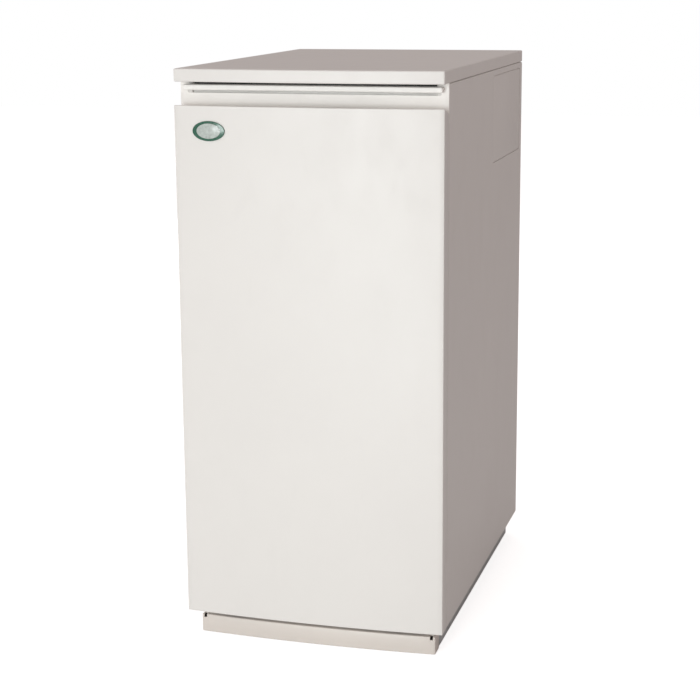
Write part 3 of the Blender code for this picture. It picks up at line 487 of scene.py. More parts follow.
def thicken(made):
    """Gives an open skin its sheet thickness, inwards."""
    solid = made.modifiers.new("sheet", "SOLIDIFY")
    solid.thickness = SHEET * MM
    solid.offset = -1
    solid.use_even_offset = True


def carve(made, *cutters):
    """Cuts shapes out of a piece, for good."""
    bpy.context.view_layer.update()
    for tool in cutters:
        step = made.modifiers.new("cut", "BOOLEAN")
        step.operation = "DIFFERENCE"
        step.solver = "EXACT"
        step.object = tool
    graph = bpy.context.evaluated_depsgraph_get()
    mesh = bpy.data.meshes.new_from_object(made.evaluated_get(graph))
    made.modifiers.clear()
    made.data = mesh
    for tool in cutters:
        bpy.data.objects.remove(tool)
    smooth(mesh)


def cutter(piece):
    """A collected shape as an object that only cuts. carve() removes it."""
    return piece.placed("cutter")


def drill(x, z, radius, low, high, sides=32):
    """A round cutter along Y that passes both faces of a wall from low to high."""
    return cutter(Piece().rod((x, 0, z), "Y", radius, low - THROUGH, high + THROUGH, 0.1, sides))


def spaced(count, radius, start=0):
    """Points evenly spaced round a circle, as offsets from its centre."""
    turns = [start + 2 * math.pi * i / count for i in range(count)]
    return [(radius * math.cos(t), radius * math.sin(t)) for t in turns]


def rounded(a0, a1, b0, b1, radius, steps=6):
    """A rectangle's outline with round corners."""
    outline = []
    left, right, lower, upper = a0 + radius, a1 - radius, b0 + radius, b1 - radius
    for a, b, quarter in ((right, upper, 0), (left, upper, 1), (left, lower, 2), (right, lower, 3)):
        for i in range(steps + 1):
            turn = math.pi / 2 * (quarter + i / steps)
            outline.append((a + radius * math.cos(turn), b + radius * math.sin(turn)))
    return outline


def oval(a, b, half_a, half_b, steps=48):
    turns = [2 * math.pi * i / steps for i in range(steps)]
    return [(a + half_a * math.cos(t), b + half_b * math.sin(t)) for t in turns]


def bowed(front, half, bow, back, steps=48):
    """A plan outline whose front edge bows forward of its corners."""
    edge = []
    for i in range(steps + 1):
        x = half * (2 * i / steps - 1)
        edge.append((x, front - bow * (1 - (x / half) ** 2)))
    return [*edge, (half, back), (-half, back)]


def folded_pan(
    name, node, outline, low, high, open_side, look, fold, lip, body="case", slot=None, cutters=()
):
    """A sheet pan with rounded folds. open_side is the way it opens, and lip the width of its hem."""
    piece = Piece().prism(outline, low, high)
    shape = piece.shape
    shape.normal_update()
    target = max(shape.faces, key=lambda f: (round(f.normal.dot(Vector(open_side)), 3), f.calc_area()))
    bmesh.ops.inset_region(shape, faces=[target], thickness=lip * MM, depth=0, use_even_offset=True)
    bmesh.ops.delete(shape, geom=[target], context="FACES")
    made = piece.finish(name, look, [node], slot, body)
    round_edges(made, fold, 4)
    thicken(made)
    if cutters:
        carve(made, *cutters)


# ---------------------------------------------------------------- case


def build_case():
    door_low, door_high = mm_box("front_door")
    lid_low, lid_high = mm_box("lid")
    half = door_high.x
    bow = 8
    front = door_low.y + bow
    back = door_high.y

    slots = []
    for x in (-130, 130):
        near, far = (x - 12, front + 6, door_low.z - 4), (x + 12, front + 18, door_low.z + 6)
        slots.append(cutter(Piece().block(near, far, 0)))
    build_door_skin(front, half, bow, back, door_low.z, door_high.z, slots)
    build_badge(front, half, bow)
    build_door_pad()

    plan = bowed(lid_low.y + bow, half, bow, lid_high.y)
    folded_pan("lid_skin", "lid", plan, lid_low.z + 0.3, lid_high.z, (0, 0, -1), "white_paint", 2.2, 8, "lid")
    for side, sign in (("left", -1), ("right", 1)):
        x0, x1 = sorted((sign * (half - 2), sign * (half - 13)))
        strip = Piece().block((x0, front + 45, lid_low.z + 0.4), (x1, lid_high.y - 12, lid_high.z - 2), 1.5)
        strip.finish(f"lid_seal_{side}", "rubber", slot="white_paint", body="lid")
    for side, sign in (("left", -1), ("right", 1)):
        build_side(side, sign)
    build_header(front)
    build_plinth(bow)


def build_door_skin(front, half, bow, back, low, high, slots):
    """The bowed skin, folded back all round. Its top return falls away behind a rolled edge."""
    roll, drop, hem = 1.8, 9, 9
    piece = Piece().prism(bowed(front, half, bow, back), low, high)
    shape = piece.shape
    shape.normal_update()
    for corner in shape.verts:
        if corner.co.z > (high - 1) * MM and corner.co.y > (back - 1) * MM:
            corner.co.z -= drop * MM
    shape.normal_update()
    rear = max(shape.faces, key=lambda f: f.normal.y * f.calc_area())
    bmesh.ops.inset_region(shape, faces=[rear], thickness=hem * MM, depth=0, use_even_offset=True)
    bmesh.ops.delete(shape, geom=[rear], context="FACES")
    shape.normal_update()
    top = []
    for edge in shape.edges:
        in_front = all(v.co.z > (high - 1) * MM and v.co.y < (front + 2) * MM for v in edge.verts)
        if in_front and edge.calc_face_angle(0) > 0.8:
            top.append(edge)
    bmesh.ops.bevel(shape, geom=top, offset=roll * MM, segments=6, affect="EDGES", profile=0.5)
    made = piece.finish("door_skin", "white_paint", ["front_door"], body="door")
    round_edges(made, 2.6, 4)
    thicken(made)
    carve(made, *slots)


def build_side(side, sign):
    """A side panel with its folds, and the plate that blanks the side flue exit."""
    low, high = mm_box(f"side_panel_{side}")
    plate_low, plate_high = mm_box(f"flue_blank_{side}")
    outer = high.x if sign > 0 else low.x
    outline = [(low.x, low.y), (high.x, low.y), (high.x, high.y), (low.x, high.y)]

    def inside(lap, radius):
        spans = plate_low.y + lap, plate_high.y - lap, plate_low.z + lap, plate_high.z - lap
        return rounded(*spans, radius)

    hole = Piece().prism(inside(5, 6), outer - 4, outer + 4, "X")
    folded_pan(
        f"side_skin_{side}", f"side_panel_{side}", outline, low.z, high.z, (-sign, 0, 0), "white_paint",
        fold=2.0, lip=16, cutters=[cutter(hole)],
    )
    plate = Piece().prism(inside(6, 5.4), *sorted((outer - sign * 0.25, outer - sign * 1.5)), "X", 0.35)
    plate.prism(inside(0, 8), *sorted((outer - sign * 1.45, outer - sign * 2.6)), "X")
    plate.finish(f"flue_plate_{side}", "white_paint", [f"flue_blank_{side}"])


def build_header(front):
    """The rail behind the finger recess: an air slot made dark by a black sheet behind it (painted shade), a
    rounded nose below it, then a groove.
    """
    low, high = mm_box("header_rail")
    set_back, slot_tall, nose_tall, groove_tall = 28.2, 5, 8, 4.6
    face = front + set_back
    slot_high = high.z - 0.6
    slot_low = slot_high - slot_tall
    nose_high = slot_low - 0.2
    nose_low = nose_high - nose_tall
    groove_low = nose_low - groove_tall
    rail = Piece().block((low.x, face, low.z), (high.x, face + SHEET, high.z), 0.3)
    # The face and the nose take the brighter header paint, which is painted light.
    made = rail.finish("header_face", "header_paint_painted_light", ["header_rail"], slot="white_paint")
    slot = Piece().prism(rounded(-186, 186, slot_low, slot_high + 4, 1.6), face - 5, face + 6, "Y")
    groove = Piece().prism(rounded(-189, 189, groove_low, nose_low + 3, 2), face - 5, face + 6, "Y")
    carve(made, cutter(slot), cutter(groove))
    nose = Piece().prism(rounded(-193, 193, nose_low, nose_high, 3), low.y, face - 0.2, "Y")
    nose.finish("header_nose", "header_paint_painted_light", slot="white_paint", bevel=1.8, steps=4)
    # A black sheet behind the air slot: painted shade, so that the slot reads dark.
    throat = Piece().block((-190, face + 9, groove_low - 8), (190, face + 10, high.z), 0.2)
    throat.finish("header_painted_shade_sheet", "black_paint", slot="white_paint")
    back = Piece().block((-189, face + 5.5, groove_low - 6), (189, face + 6.5, nose_low + 4), 0.3)
    back.finish("header_groove", "white_paint")


def build_plinth(bow):
    low, high = mm_box("plinth")
    outline = bowed(low.y + bow - 1, high.x, bow - 1, high.y)
    notches = []
    for sign in (-1, 1):
        x0, x1 = sorted((sign * (high.x - 3.5), sign * (high.x - 8)))
        notches.append(cutter(Piece().block((x0, low.y - 5, high.z - 5), (x1, low.y + 14, high.z + 5), 0)))
    # The plinth takes the darker plinth paint, which is painted shade.
    folded_pan(
        "plinth_skin", "plinth", outline, low.z, high.z, (0, 0, -1), "plinth_paint_painted_shade", 1.6, 7,
        slot="white_paint", cutters=notches,
    )


def build_badge(front, half, bow):
    """A plain oval: a green enamel rim round a pale field, with no lettering."""
    low, high = mm_box("badge")
    x, z = (low.x + high.x) / 2, (low.z + high.z) / 2
    half_wide, half_tall = (high.x - low.x) / 2, (high.z - low.z) / 2
    behind = front - bow * (1 - (x / half) ** 2)
    slope = math.atan2(2 * bow * x / half**2, 1)
    turn = Matrix.Translation(Vector((x, behind, z)) * MM) @ Matrix.Rotation(slope, 4, "Z")
    turn = turn @ Matrix.Translation(-Vector((x, behind, z)) * MM)
    for name, ends, edges, near, look, stands_for in (
        ("badge_rim", 0, 0, 1.9, "badge_green", ["badge"]),
        ("badge_field", 6.5, 3.4, 2.3, "badge_silver", []),
    ):
        outline = oval(x, z, half_wide - ends, half_tall - edges)
        plate = Piece().prism(outline, behind - near, behind - 0.25, "Y", 0.7, 3)
        bmesh.ops.transform(plate.shape, matrix=turn, verts=plate.shape.verts)
        plate.finish(name, look, stands_for, "badge_green", "door")


def build_door_pad():
    """The quilted insulating pad inside the door."""
    low, high = mm_box("door_insulation")
    pad = Piece()
    columns, rows = 4, 8
    wide, tall = (high.x - low.x) / columns, (high.z - low.z) / rows
    steps = 6
    front, back = high.y - 12, high.y
    vertices, faces = [], []
    nx, nz = columns * steps, rows * steps
    for j in range(nz + 1):
        for i in range(nx + 1):
            u, v = (i % steps) / steps, (j % steps) / steps
            swell = (math.sin(math.pi * u) * math.sin(math.pi * v)) ** 0.5
            edge = min(i, j, nx - i, nz - j) > 0  # the outermost points stay level
            y = back - 3.4 + 3.2 * swell * edge
            vertices.append((low.x + wide * i / steps, y, low.z + tall * j / steps))
    count = len(vertices)
    for j in range(nz):
        for i in range(nx):
            a = j * (nx + 1) + i
            faces.append((a, a + 1, a + nx + 2, a + nx + 1))
    rim = list(range(nx + 1))
    rim += [j * (nx + 1) + nx for j in range(1, nz + 1)]
    rim += [nz * (nx + 1) + i for i in range(nx - 1, -1, -1)]
    rim += [j * (nx + 1) for j in range(nz - 1, 0, -1)]
    for i in rim:
        x, _, z = vertices[i]
        vertices.append((x, front, z))
    for k in range(len(rim)):
        following = (k + 1) % len(rim)
        faces.append((rim[k], count + k, count + following, rim[following]))
    faces.append(tuple(count + k for k in range(len(rim))))
    made = pad.faces_of(vertices, faces)
    bmesh.ops.recalc_face_normals(pad.shape, faces=made)
    quilt = pad.finish("door_pad", "insulation", ["door_insulation"], body="door", angle=math.radians(60))


# ---------------------------------------------------------------- back


def build_rear():
    """The rear sheet with its louvres and screws, and a rubber ring round each stub that passes through."""
    low, high = mm_box("back_panel")
    sheet = Piece().prism(rounded(low.x, high.x, low.z, high.z, 3), low.y, high.y, "Y", 0.3)
    made = sheet.finish("rear_sheet", "galvanised", ["back_panel"])
    holes = []
    for node, gap in (("flue_collar", 5), ("flow_socket", 5), ("return_socket", 5), ("oil_inlet_pipe", 2)):
        at = middle(node)
        stub_low, stub_high = mm_box(node)
        radius = (stub_high.x - stub_low.x) / 2
        holes.append(drill(at.x, at.z, radius + gap, low.y, high.y, 48))
        inner, outer = radius + 0.3, radius + gap + 5
        lip = [(inner, -2.5), (inner, 2.6), (inner + 1.5, 2.9), (outer - 1, 1.5), (outer, 0.9), (outer, 0.1)]
        lip += [(radius + gap - 0.2, 0.1), (radius + gap - 0.2, -2.5)]
        grommet = Piece().lathe((at.x, high.y, at.z), "Y", lip, 48)
        grommet.finish(f"{node}_grommet", "rubber", slot="black_paint")
    gland = middle("cable_gland")
    holes.append(drill(gland.x, gland.z, 10.5, low.y, high.y))
    slots, hoods = Piece(), Piece()
    half_wide, tall, pitch = 32, 5, 14
    for x in (-60, 60):
        for row in range(9):
            z = 286 + row * pitch
            slots.block((x - half_wide, low.y - 5, z), (x + half_wide, high.y + 5, z + tall), 0)
            hood = [(high.y - 0.3, z + 8.4), (high.y + 1.7, z + 7.2), (high.y + 3.2, z + 4.2)]
            hood += [(high.y + 2.3, z + 4.2), (high.y + 1.0, z + 6.2), (high.y - 0.3, z + 6.8)]
            hoods.prism(hood, x - half_wide - 2, x + half_wide + 2, "X", 0.3)
    hoods.finish("louvre_hoods", "galvanised")
    carve(made, *holes, cutter(slots))
    screws = Piece()
    for z in (low.z + 22, 210, 460, 640, high.z - 14):
        for x in (low.x + 12, high.x - 12):
            screws.bolt((x, high.y, z), "Y", 7)
    for x in (-90, 0, 90):
        screws.bolt((x, high.y, high.z - 9), "Y", 7)
    screws.finish("rear_screws", "steel", slot="galvanised")


def build_stubs():
    """The flue collar with its bead and lip seal, and the two threaded water sockets."""
    low, high = mm_box("flue_collar")
    at, radius = middle("flue_collar"), (high.x - low.x) / 2
    bore = radius - 3
    skin = [(radius, low.y), (radius, high.y - 17), (radius + 1.6, high.y - 15), (radius + 1.6, high.y - 12)]
    skin += [(radius, high.y - 10), (radius, high.y - 1), (radius - 0.8, high.y), (bore + 0.8, high.y)]
    skin += [(bore, high.y - 1), (bore, low.y)]
    Piece().lathe((at.x, 0, at.z), "Y", skin, 64).finish("flue_spigot", "stainless", ["flue_collar"])
    lips = [(0.1, 20), (3, 17), (3.4, 15), (1, 13), (2.8, 10), (1, 8), (0.1, 7)]
    seal = [(bore - inset, high.y - depth) for inset, depth in lips]
    Piece().lathe((at.x, 0, at.z), "Y", seal, 64).finish("flue_seal", "red_plastic", slot="stainless")
    for node in ("flow_socket", "return_socket"):
        low, high = mm_box(node)
        at, radius = middle(node), (high.x - low.x) / 2
        bore, pitch = radius - 6, 2.3
        shape = [(radius, low.y), (radius, high.y - 1.4), (radius - 1.4, high.y), (bore + 2.4, high.y)]
        for turn in range(8):
            depth = high.y - 2 - turn * pitch
            shape += [(bore + 0.2, depth), (bore + 1.5, depth - pitch / 2)]
        shape += [(bore, high.y - 22), (bore, low.y)]
        thread = Piece().lathe((at.x, 0, at.z), "Y", shape, 48)
        thread.finish(f"{node}_threaded", "black_paint", [node], angle=math.radians(25))


# ---------------------------------------------------------------- boiler


def wrap_plan(inset, radius=16, steps=8):
    """The insulation's plan: a U open to the front, with round rear corners, pulled in by inset."""
    low, high = mm_box("jacket_insulation")
    jacket_high = mm_box("boiler_jacket")[1]
    half, front, back = high.x - inset, low.y, high.y - inset
    inner, inner_back = jacket_high.x + 0.3, jacket_high.y + 0.3
    plan = [(-half, front), (-inner, front), (-inner, inner_back)]
    plan += [(inner, inner_back), (inner, front), (half, front)]
    for sign, start in ((1, 0), (-1, math.pi / 2)):
        for i in range(steps + 1):
            turn = start + math.pi / 2 * i / steps
            x = sign * (half - radius) + radius * math.cos(turn)
            plan.append((x, back - radius + radius * math.sin(turn)))
    return plan


def build_wrap():
    """The foil-faced blanket round the water jacket, drawn in by three steel straps."""
    low, high = mm_box("jacket_insulation")
    straps = [low.z + (high.z - low.z) * share for share in (0.17, 0.5, 0.83)]
    levels = [low.z + 0.2 + (high.z - low.z - 0.4) * i / 84 for i in range(85)]
    outlines = []
    for z in levels:
        near = min(abs(z - strap) for strap in straps)
        rim = min(z - low.z, high.z - z)
        inset = 3.2 * math.exp(-((near / 16) ** 2)) + 5 * math.exp(-rim / 6)
        outlines.append(wrap_plan(inset))
    blanket = Piece().stack(outlines, levels)
    crisp = math.radians(50)
    made = blanket.finish("jacket_wrap", "foil", ["jacket_insulation"], slot="insulation", angle=crisp)
    holes = []
    for node in ("flow_socket", "return_socket"):
        at = middle(node)
        holes.append(drill(at.x, at.z, 22, high.y - 35, high.y + 5))
    carve(made, *holes)
    bands = Piece()
    for z in straps:
        outer, inner = wrap_plan(2.4), wrap_plan(3.1)
        bands.stack([[*outer[5:], outer[0], inner[0], *inner[:4:-1]]] * 2, (z - 8, z + 8))
    bands.finish("wrap_straps", "steel", slot="galvanised")


def build_boiler_front():
    """The burner door with its nuts, the weld beads of the jacket, and the cleaning cover with wing nuts."""
    low, high = mm_box("burner_door")
    face = high.y - 8
    plate = Piece().prism(rounded(low.x, high.x, low.z, high.z, 12), face, high.y, "Y", 1.2, 3)
    made = plate.finish("burner_door_plate", "boiler_steel", ["burner_door"])
    tube = middle("blast_tube")
    carve(made, drill(tube.x, tube.z, 46, face, high.y, 48))
    nuts = Piece()
    for x in (low.x + 12, high.x - 12):
        for z in (low.z + 14, (low.z + high.z) / 2, high.z - 14):
            nuts.rod((x, face, z), "Y", 12, -2.2, 0, 0.4, 28)
            nuts.hexagon((x, face, z), "Y", 16, -9, -2.2)
            nuts.rod((x, face, z), "Y", 5, -13, -8, 0.8, 20)
    nuts.finish("burner_door_nuts", "steel", slot="galvanised")
    low, high = mm_box("boiler_jacket")
    floor = mm_box("jacket_insulation")[0].z - 6
    bead = Piece()
    corners = [(low.x, floor), (high.x, floor), (high.x, high.z), (low.x, high.z)]
    for (x0, z0), (x1, z1) in zip(corners, corners[1:] + corners[:1]):
        y = low.y + 0.4
        bead.tube([(x0, y, z0), ((x0 + x1) / 2, y, (z0 + z1) / 2), (x1, y, z1)], 2.4, 12)
    bead.finish("jacket_welds", "boiler_steel")

    low, high = mm_box("cleaning_cover")
    top = low.z + 6
    cover = Piece().prism(rounded(low.x, high.x, low.y, high.y, 10), low.z, top, "Z", 1, 3)
    handle = [(30, -2), (31, 14), (42, 19), (75, 19.5), (108, 19), (119, 14), (120, -2)]
    cover.tube([(0, y, top + rise) for y, rise in handle], 5)
    cover.finish("cleaning_plate", "boiler_steel", ["cleaning_cover"])
    wings = Piece()
    for x in (-108, 108):
        for y in (low.y + 10, high.y - 10):
            wings.rod((x, y, top), "Z", 9, 0, 1.6, 0.4, 24).rod((x, y, top), "Z", 5.5, 1.6, 8, 1, 20)
            for sign in (-1, 1):
                wing = oval(x + sign * 8, top + 8.5, 6, 4.4, 20)
                wings.prism(wing, y - 1.4, y + 1.4, "Y", 0.8)
    wings.finish("cover_wing_nuts", "steel", slot="galvanised")


# ---------------------------------------------------------------- burner


def build_motor():
    """The finned motor with its end bell, mounting bolts and start capacitor."""
    low, high = mm_box("burner_motor")
    axle = middle("motor_shaft")
    start, end, radius = low.x + 7, high.x, 44
    root = radius - 3
    shell = [(7, low.x), (27, low.x), (30, low.x + 2), (31, start)]
    shell += [(radius - 8, start + 1), (root, start + 6)]
    fin = start + 12
    while fin < end - 18:
        shell += [(root, fin), (radius, fin + 0.6), (radius, fin + 2.4), (root, fin + 3)]
        fin += 5
    shell += [(root, end - 12), (radius, end - 11), (radius, end), (7, end)]
    body = Piece().lathe((0, axle.y, axle.z), "X", shell, 56)
    saddle_low, saddle_high = end - 68, end - 36
    body.block((saddle_low, axle.y - 4, axle.z + 36), (saddle_high, axle.y + 20, axle.z + 52), 1.5)
    body.finish("motor_shell", "black_paint", ["burner_motor"], angle=math.radians(28))
    can = Piece().rod((0, axle.y + 8, axle.z + 58), "X", 17, end - 84, end - 26, 3, 40)
    can.finish("motor_capacitor", "casting", slot="black_paint")
    cap = Piece().rod((0, axle.y + 8, axle.z + 58), "X", 17.6, end - 30, end - 20, 2.5, 40)
    cap.finish("capacitor_cap", "black_plastic")
    bolts = Piece()
    for y, z in spaced(4, 50, math.pi / 4):
        bolts.rod((end - 3, axle.y + y, axle.z + z), "X", 6.5, -8, 2.6, 0.8, 24)
    bolts.finish("motor_lugs", "casting")


def build_fan_case():
    """The fan drum with its rims and bolts, the air duct to the blast tube, and the air damper's scale."""
    low, high = mm_box("burner_housing")
    axle = middle("motor_shaft")
    radius = (high.z - low.z) / 2
    duct_low, duct_high = low.z + 43, low.z + 137
    burner = (duct_low + duct_high) / 2
    wall = 3
    inner = radius - wall
    skin = [(8, low.x), (radius, low.x), (radius, high.x), (40, high.x)]
    skin += [(40, high.x - wall), (inner, high.x - wall), (inner, low.x + wall), (8, low.x + wall)]
    shell = Piece().lathe((0, axle.y, axle.z), "X", skin, 96)
    shell.finish("fan_scroll", "casting", ["burner_housing"])
    duct = Piece().block((-47, -138, duct_low), (47, high.y, duct_high), 4, 4)
    duct_skin = duct.finish("air_duct", "casting")
    tube_front = mm_box("blast_tube")[0].y
    throat = Piece().block((-30, -175, burner - 36), (30, tube_front + 2, burner + 36), 0)
    seat = Piece().rod((0, 0, burner), "Y", 44.3, tube_front - 0.3, high.y + THROUGH, 0.1, 64)
    cell = middle("photocell")
    well = Piece().rod((cell.x, cell.y, 0), "Z", 8.4, duct_high - 13, duct_high + THROUGH, 0.1)
    carve(duct_skin, cutter(throat), cutter(seat), cutter(well))
    rims = Piece()
    for x in (low.x, high.x):
        rim = [(radius - 6, x - 1.4), (radius + 2, x - 1.4), (radius + 2.6, x - 0.6), (radius + 2.6, x + 0.6)]
        rim += [(radius + 2, x + 1.4), (radius - 6, x + 1.4)]
        rims.lathe((0, axle.y, axle.z), "X", rim, 72)
    rims.finish("housing_rims", "casting")
    bolts = Piece()
    for y, z in spaced(8, 72, 0.3):
        bolts.bolt((low.x - 1.3, axle.y + y, axle.z + z), (-1, 0, 0), 8)
    flange_face = mm_box("burner_flange")[0].y
    at = middle("burner_flange")
    for x, z in spaced(4, 63):
        bolts.bolt((at.x + x, flange_face, at.z + z), (0, -1, 0), 11)
    intake_low, intake_high = mm_box("air_intake")
    for y in (intake_low.y + 9, intake_high.y - 9):
        for z in (intake_low.z + 40, intake_high.z - 9):
            bolts.bolt((intake_high.x, y, z), (1, 0, 0), 6)
    bolts.finish("burner_bolts", "steel", slot="galvanised")
    spindle = Vector(((intake_low.x + intake_high.x) / 2, intake_low.y, intake_low.z + 18))
    marks = Piece()
    for i in range(9):
        turn = math.radians(-80 + 10 * i)
        along = Vector((math.cos(turn), 0, math.sin(turn)))
        across = Vector((-along.z, 0, along.x))
        near, far = 12 if i % 2 else 11, 15.5
        strokes = ((near, -0.4), (far, -0.4), (far, 0.4), (near, 0.4))
        corners = [spindle + along * r + across * s for r, s in strokes]
        marks.prism([(c.x, c.z) for c in corners], intake_low.y - 0.35, intake_low.y - 0.05, "Y")
    marks.finish("damper_scale", "white_print", slot="casting")


def build_pump():
    """The fuel pump with its cover, ports and screws, and the solenoid coil with its plug."""
    low, high = mm_box("fuel_pump")
    axle = middle("motor_shaft")
    body_x, end = low.x + 4, high.x - 9
    body = Piece().block((body_x, axle.y - 32, axle.z - 34), (end, axle.y + 32, axle.z + 30), 5, 4)
    body.rod((0, axle.y, axle.z), "X", 16, low.x, body_x + 3, 1)
    cover = [(0, end - 3), (27, end - 3), (27, end + 3), (24, end + 6), (0, end + 6)]
    body.lathe((0, axle.y, axle.z), "X", cover, 48)
    body.finish("pump_body", "casting", ["fuel_pump"])
    ports = Piece()
    for y, z in spaced(4, 27, math.pi / 4):
        ports.bolt((end + 1, axle.y + y, axle.z + z), "X", 6)
    ports.hexagon((body_x + 40, axle.y, low.z), "Z", 17, 0, 13)
    ports.hexagon((body_x + 44, axle.y + 22, axle.z + 30), "Z", 12, -1, 9)
    ports.rod((end + 6, axle.y, axle.z), "X", 7, -1, 3, 1)
    ports.hexagon((body_x + 18, axle.y - 32, axle.z - 12), (0, -1, 0), 12, -1, 6)
    ports.hexagon((body_x + 36, axle.y - 32, axle.z + 12), (0, -1, 0), 9, -1, 5)
    ports.finish("pump_fittings", "brass")
    coil_low, coil_high = mm_box("pump_solenoid")
    at = middle("pump_solenoid")
    plan = rounded(at.x - 15, at.x + 15, at.y - 15, at.y + 15, 7)
    coil = Piece().prism(plan, coil_low.z, coil_high.z - 10, "Z", 2, 4)
    coil.block((at.x - 9, at.y - 30, coil_low.z + 8), (at.x + 9, at.y - 14, coil_high.z - 18), 2, 3)
    coil.finish("solenoid_coil", "black_plastic", ["pump_solenoid"])
    nut = Piece().rod((at.x, at.y, coil_high.z - 12), "Z", 8, 0, 3, 0.5)
    nut.hexagon((at.x, at.y, coil_high.z - 10), "Z", 12, 0.6, 10)
    nut.finish("solenoid_nut", "steel", slot="galvanised")


def build_burner_control():
    """The burner's lockout control: a moulded box on a terminal base, with its lit reset button."""
    low, high = mm_box("burner_control_box")
    button_low, button_high = mm_box("burner_reset_button")
    at = middle("burner_reset_button")
    outline = rounded(low.x + 2, high.x - 2, low.z + 17, high.z, 8)
    upper = Piece().prism(outline, low.y, high.y - 2, "Y", 2.5, 4)
    made = upper.finish("lockout_cover", "grey_plastic", ["burner_control_box"], slot="black_plastic")
    carve(made, drill(at.x, at.z, 7.5, low.y, button_high.y + 2))
    base = Piece().block((low.x, low.y + 2, low.z), (high.x, high.y, low.z + 16), 2.5, 3)
    for i in range(5):
        x = low.x + 14 + i * 15
        base.rod((x, low.y + 4, low.z + 8), "Y", 4.2, -4, 1, 1, 24)
    base.finish("lockout_base", "black_plastic")
    collar = [(7.6, -1.2), (7.6, 1), (10, 1), (10, 0.2), (9.2, -1.2)]
    Piece().lathe((at.x, low.y, at.z), "Y", collar).finish("lockout_collar", "black_plastic")
    near, far = button_low.y, button_high.y
    dome = [(0, near), (4, near + 0.3), (6.2, near + 1.2), (7, near + 2.6), (7, far), (0, far)]
    button = Piece().lathe((at.x, 0, at.z), "Y", dome)
    button.finish("lockout_button", "red_plastic", ["burner_reset_button"], body="burner_reset_button")


# ---------------------------------------------------------------- controls


def build_fascia():
    """The control panel: a printed dial, fluted knob, rocker switch, capped limit reset and domed lamp."""
    low, high = mm_box("control_fascia")
    knob, rocker = middle("thermostat_knob"), middle("power_switch")
    reset, lamp = middle("limit_reset_button"), middle("lockout_lamp")
    face = low.y
    plate = Piece().prism(rounded(low.x, high.x, low.z, high.z, 6), face, high.y, "Y", 0.7, 3)
    made = plate.finish("fascia_plate", "grey_plastic", ["control_fascia"])
    window = (rocker.x - 11, face - 5, rocker.z - 15), (rocker.x + 11, face + 14, rocker.z + 15)
    holes = [cutter(Piece().block(*window, 0))]
    for at, radius in ((reset, 6.5), (lamp, 6), (knob, 4)):
        holes.append(drill(at.x, knob.z, radius, face, face + 9))
    carve(made, *holes)

    dial = Piece()
    for i in range(11):
        turn = math.pi / 2 - math.radians(27) * i
        along = Vector((math.cos(turn), math.sin(turn)))
        across = Vector((-along.y, along.x))
        far, thick = (32, 0.7) if i % 5 == 0 else (29.5, 0.45)
        corners = [(24.5, -thick), (far, -thick), (far, thick), (24.5, thick)]
        outline = [tuple(Vector((knob.x, knob.z)) + along * r + across * s) for r, s in corners]
        dial.prism(outline, face - 0.3, face - 0.05, "Y")
    for x0, x1 in ((-20, 38), (52, 76), (86, 124)):
        dial.prism(rounded(x0, x1, low.z + 9, low.z + 10, 0.4, 2), face - 0.3, face - 0.05, "Y")
    dial.finish("dial_print", "white_print", slot="grey_plastic")

    near = mm_box("thermostat_knob")[0].y
    flutes = []
    for i in range(144):
        turn = 2 * math.pi * i / 144
        radius = 18.6 + 0.7 * math.cos(24 * turn)
        flutes.append((knob.x + radius * math.cos(turn), knob.z + radius * math.sin(turn)))
    skirt = [(0, -5), (19.6, -5), (21, -3.6), (21, -1), (0, -1)]
    body = Piece().lathe((knob.x, face, knob.z), "Y", skirt, 64)
    body.prism(flutes, near + 6, face - 4.6, "Y", 0.9, 2)
    body.prism(rounded(knob.x - 4, knob.x + 4, knob.z - 18, knob.z + 18, 3.6), near, near + 9, "Y", 1.4, 4)
    body.rod((knob.x, face, knob.z), "Y", 3, -3, 12, 0.4)
    body.finish("knob_moulding", "black_plastic", ["thermostat_knob"], body="thermostat_knob")
    stroke = rounded(knob.x - 0.8, knob.x + 0.8, knob.z + 6, knob.z + 17, 0.6, 3)
    line = Piece().prism(stroke, near - 0.25, near + 1, "Y")
    line.finish("knob_pointer", "white_print", slot="black_plastic", body="thermostat_knob")

    build_rocker(face, rocker.x, knob.z)
    rim = rounded(rocker.x - 14, rocker.x + 14, knob.z - 18, knob.z + 18, 3)
    bezel = Piece().prism(rim, face - 2.2, face - 0.1, "Y", 0.8).finish("rocker_bezel", "black_plastic")
    opening = (rocker.x - 10.6, face - 8, knob.z - 14.6), (rocker.x + 10.6, face + 5, knob.z + 14.6)
    carve(bezel, cutter(Piece().block(*opening, 0)))

    nut = [(6.3, -3), (9.5, -3), (10.6, -2), (10.6, -0.1), (6.3, -0.1)]
    collar = Piece().lathe((reset.x, face, knob.z), "Y", nut, 6)
    collar.finish("reset_nut", "steel", slot="galvanised", angle=math.radians(20))
    near, far = (corner.y for corner in mm_box("limit_reset_button"))
    cap = [(0, near), (4.4, near), (5.6, near + 0.8), (6, near + 2), (6, far), (0, far)]
    button = Piece().lathe((reset.x, 0, knob.z), "Y", cap)
    button.finish("reset_cap", "black_plastic", ["limit_reset_button"], body="limit_reset_button")
    ring = [(5.6, -2.2), (7.2, -2.2), (8, -1.4), (8, -0.1), (5.6, -0.1)]
    Piece().lathe((lamp.x, face, knob.z), "Y", ring).finish("lamp_ring", "black_plastic")
    lens = [(0, -3), (2.6, -2.8), (4.4, -2), (5.4, -0.6), (5.5, 10), (0, 10)]
    Piece().lathe((lamp.x, face, knob.z), "Y", lens).finish("lamp_lens", "red_plastic", ["lockout_lamp"])


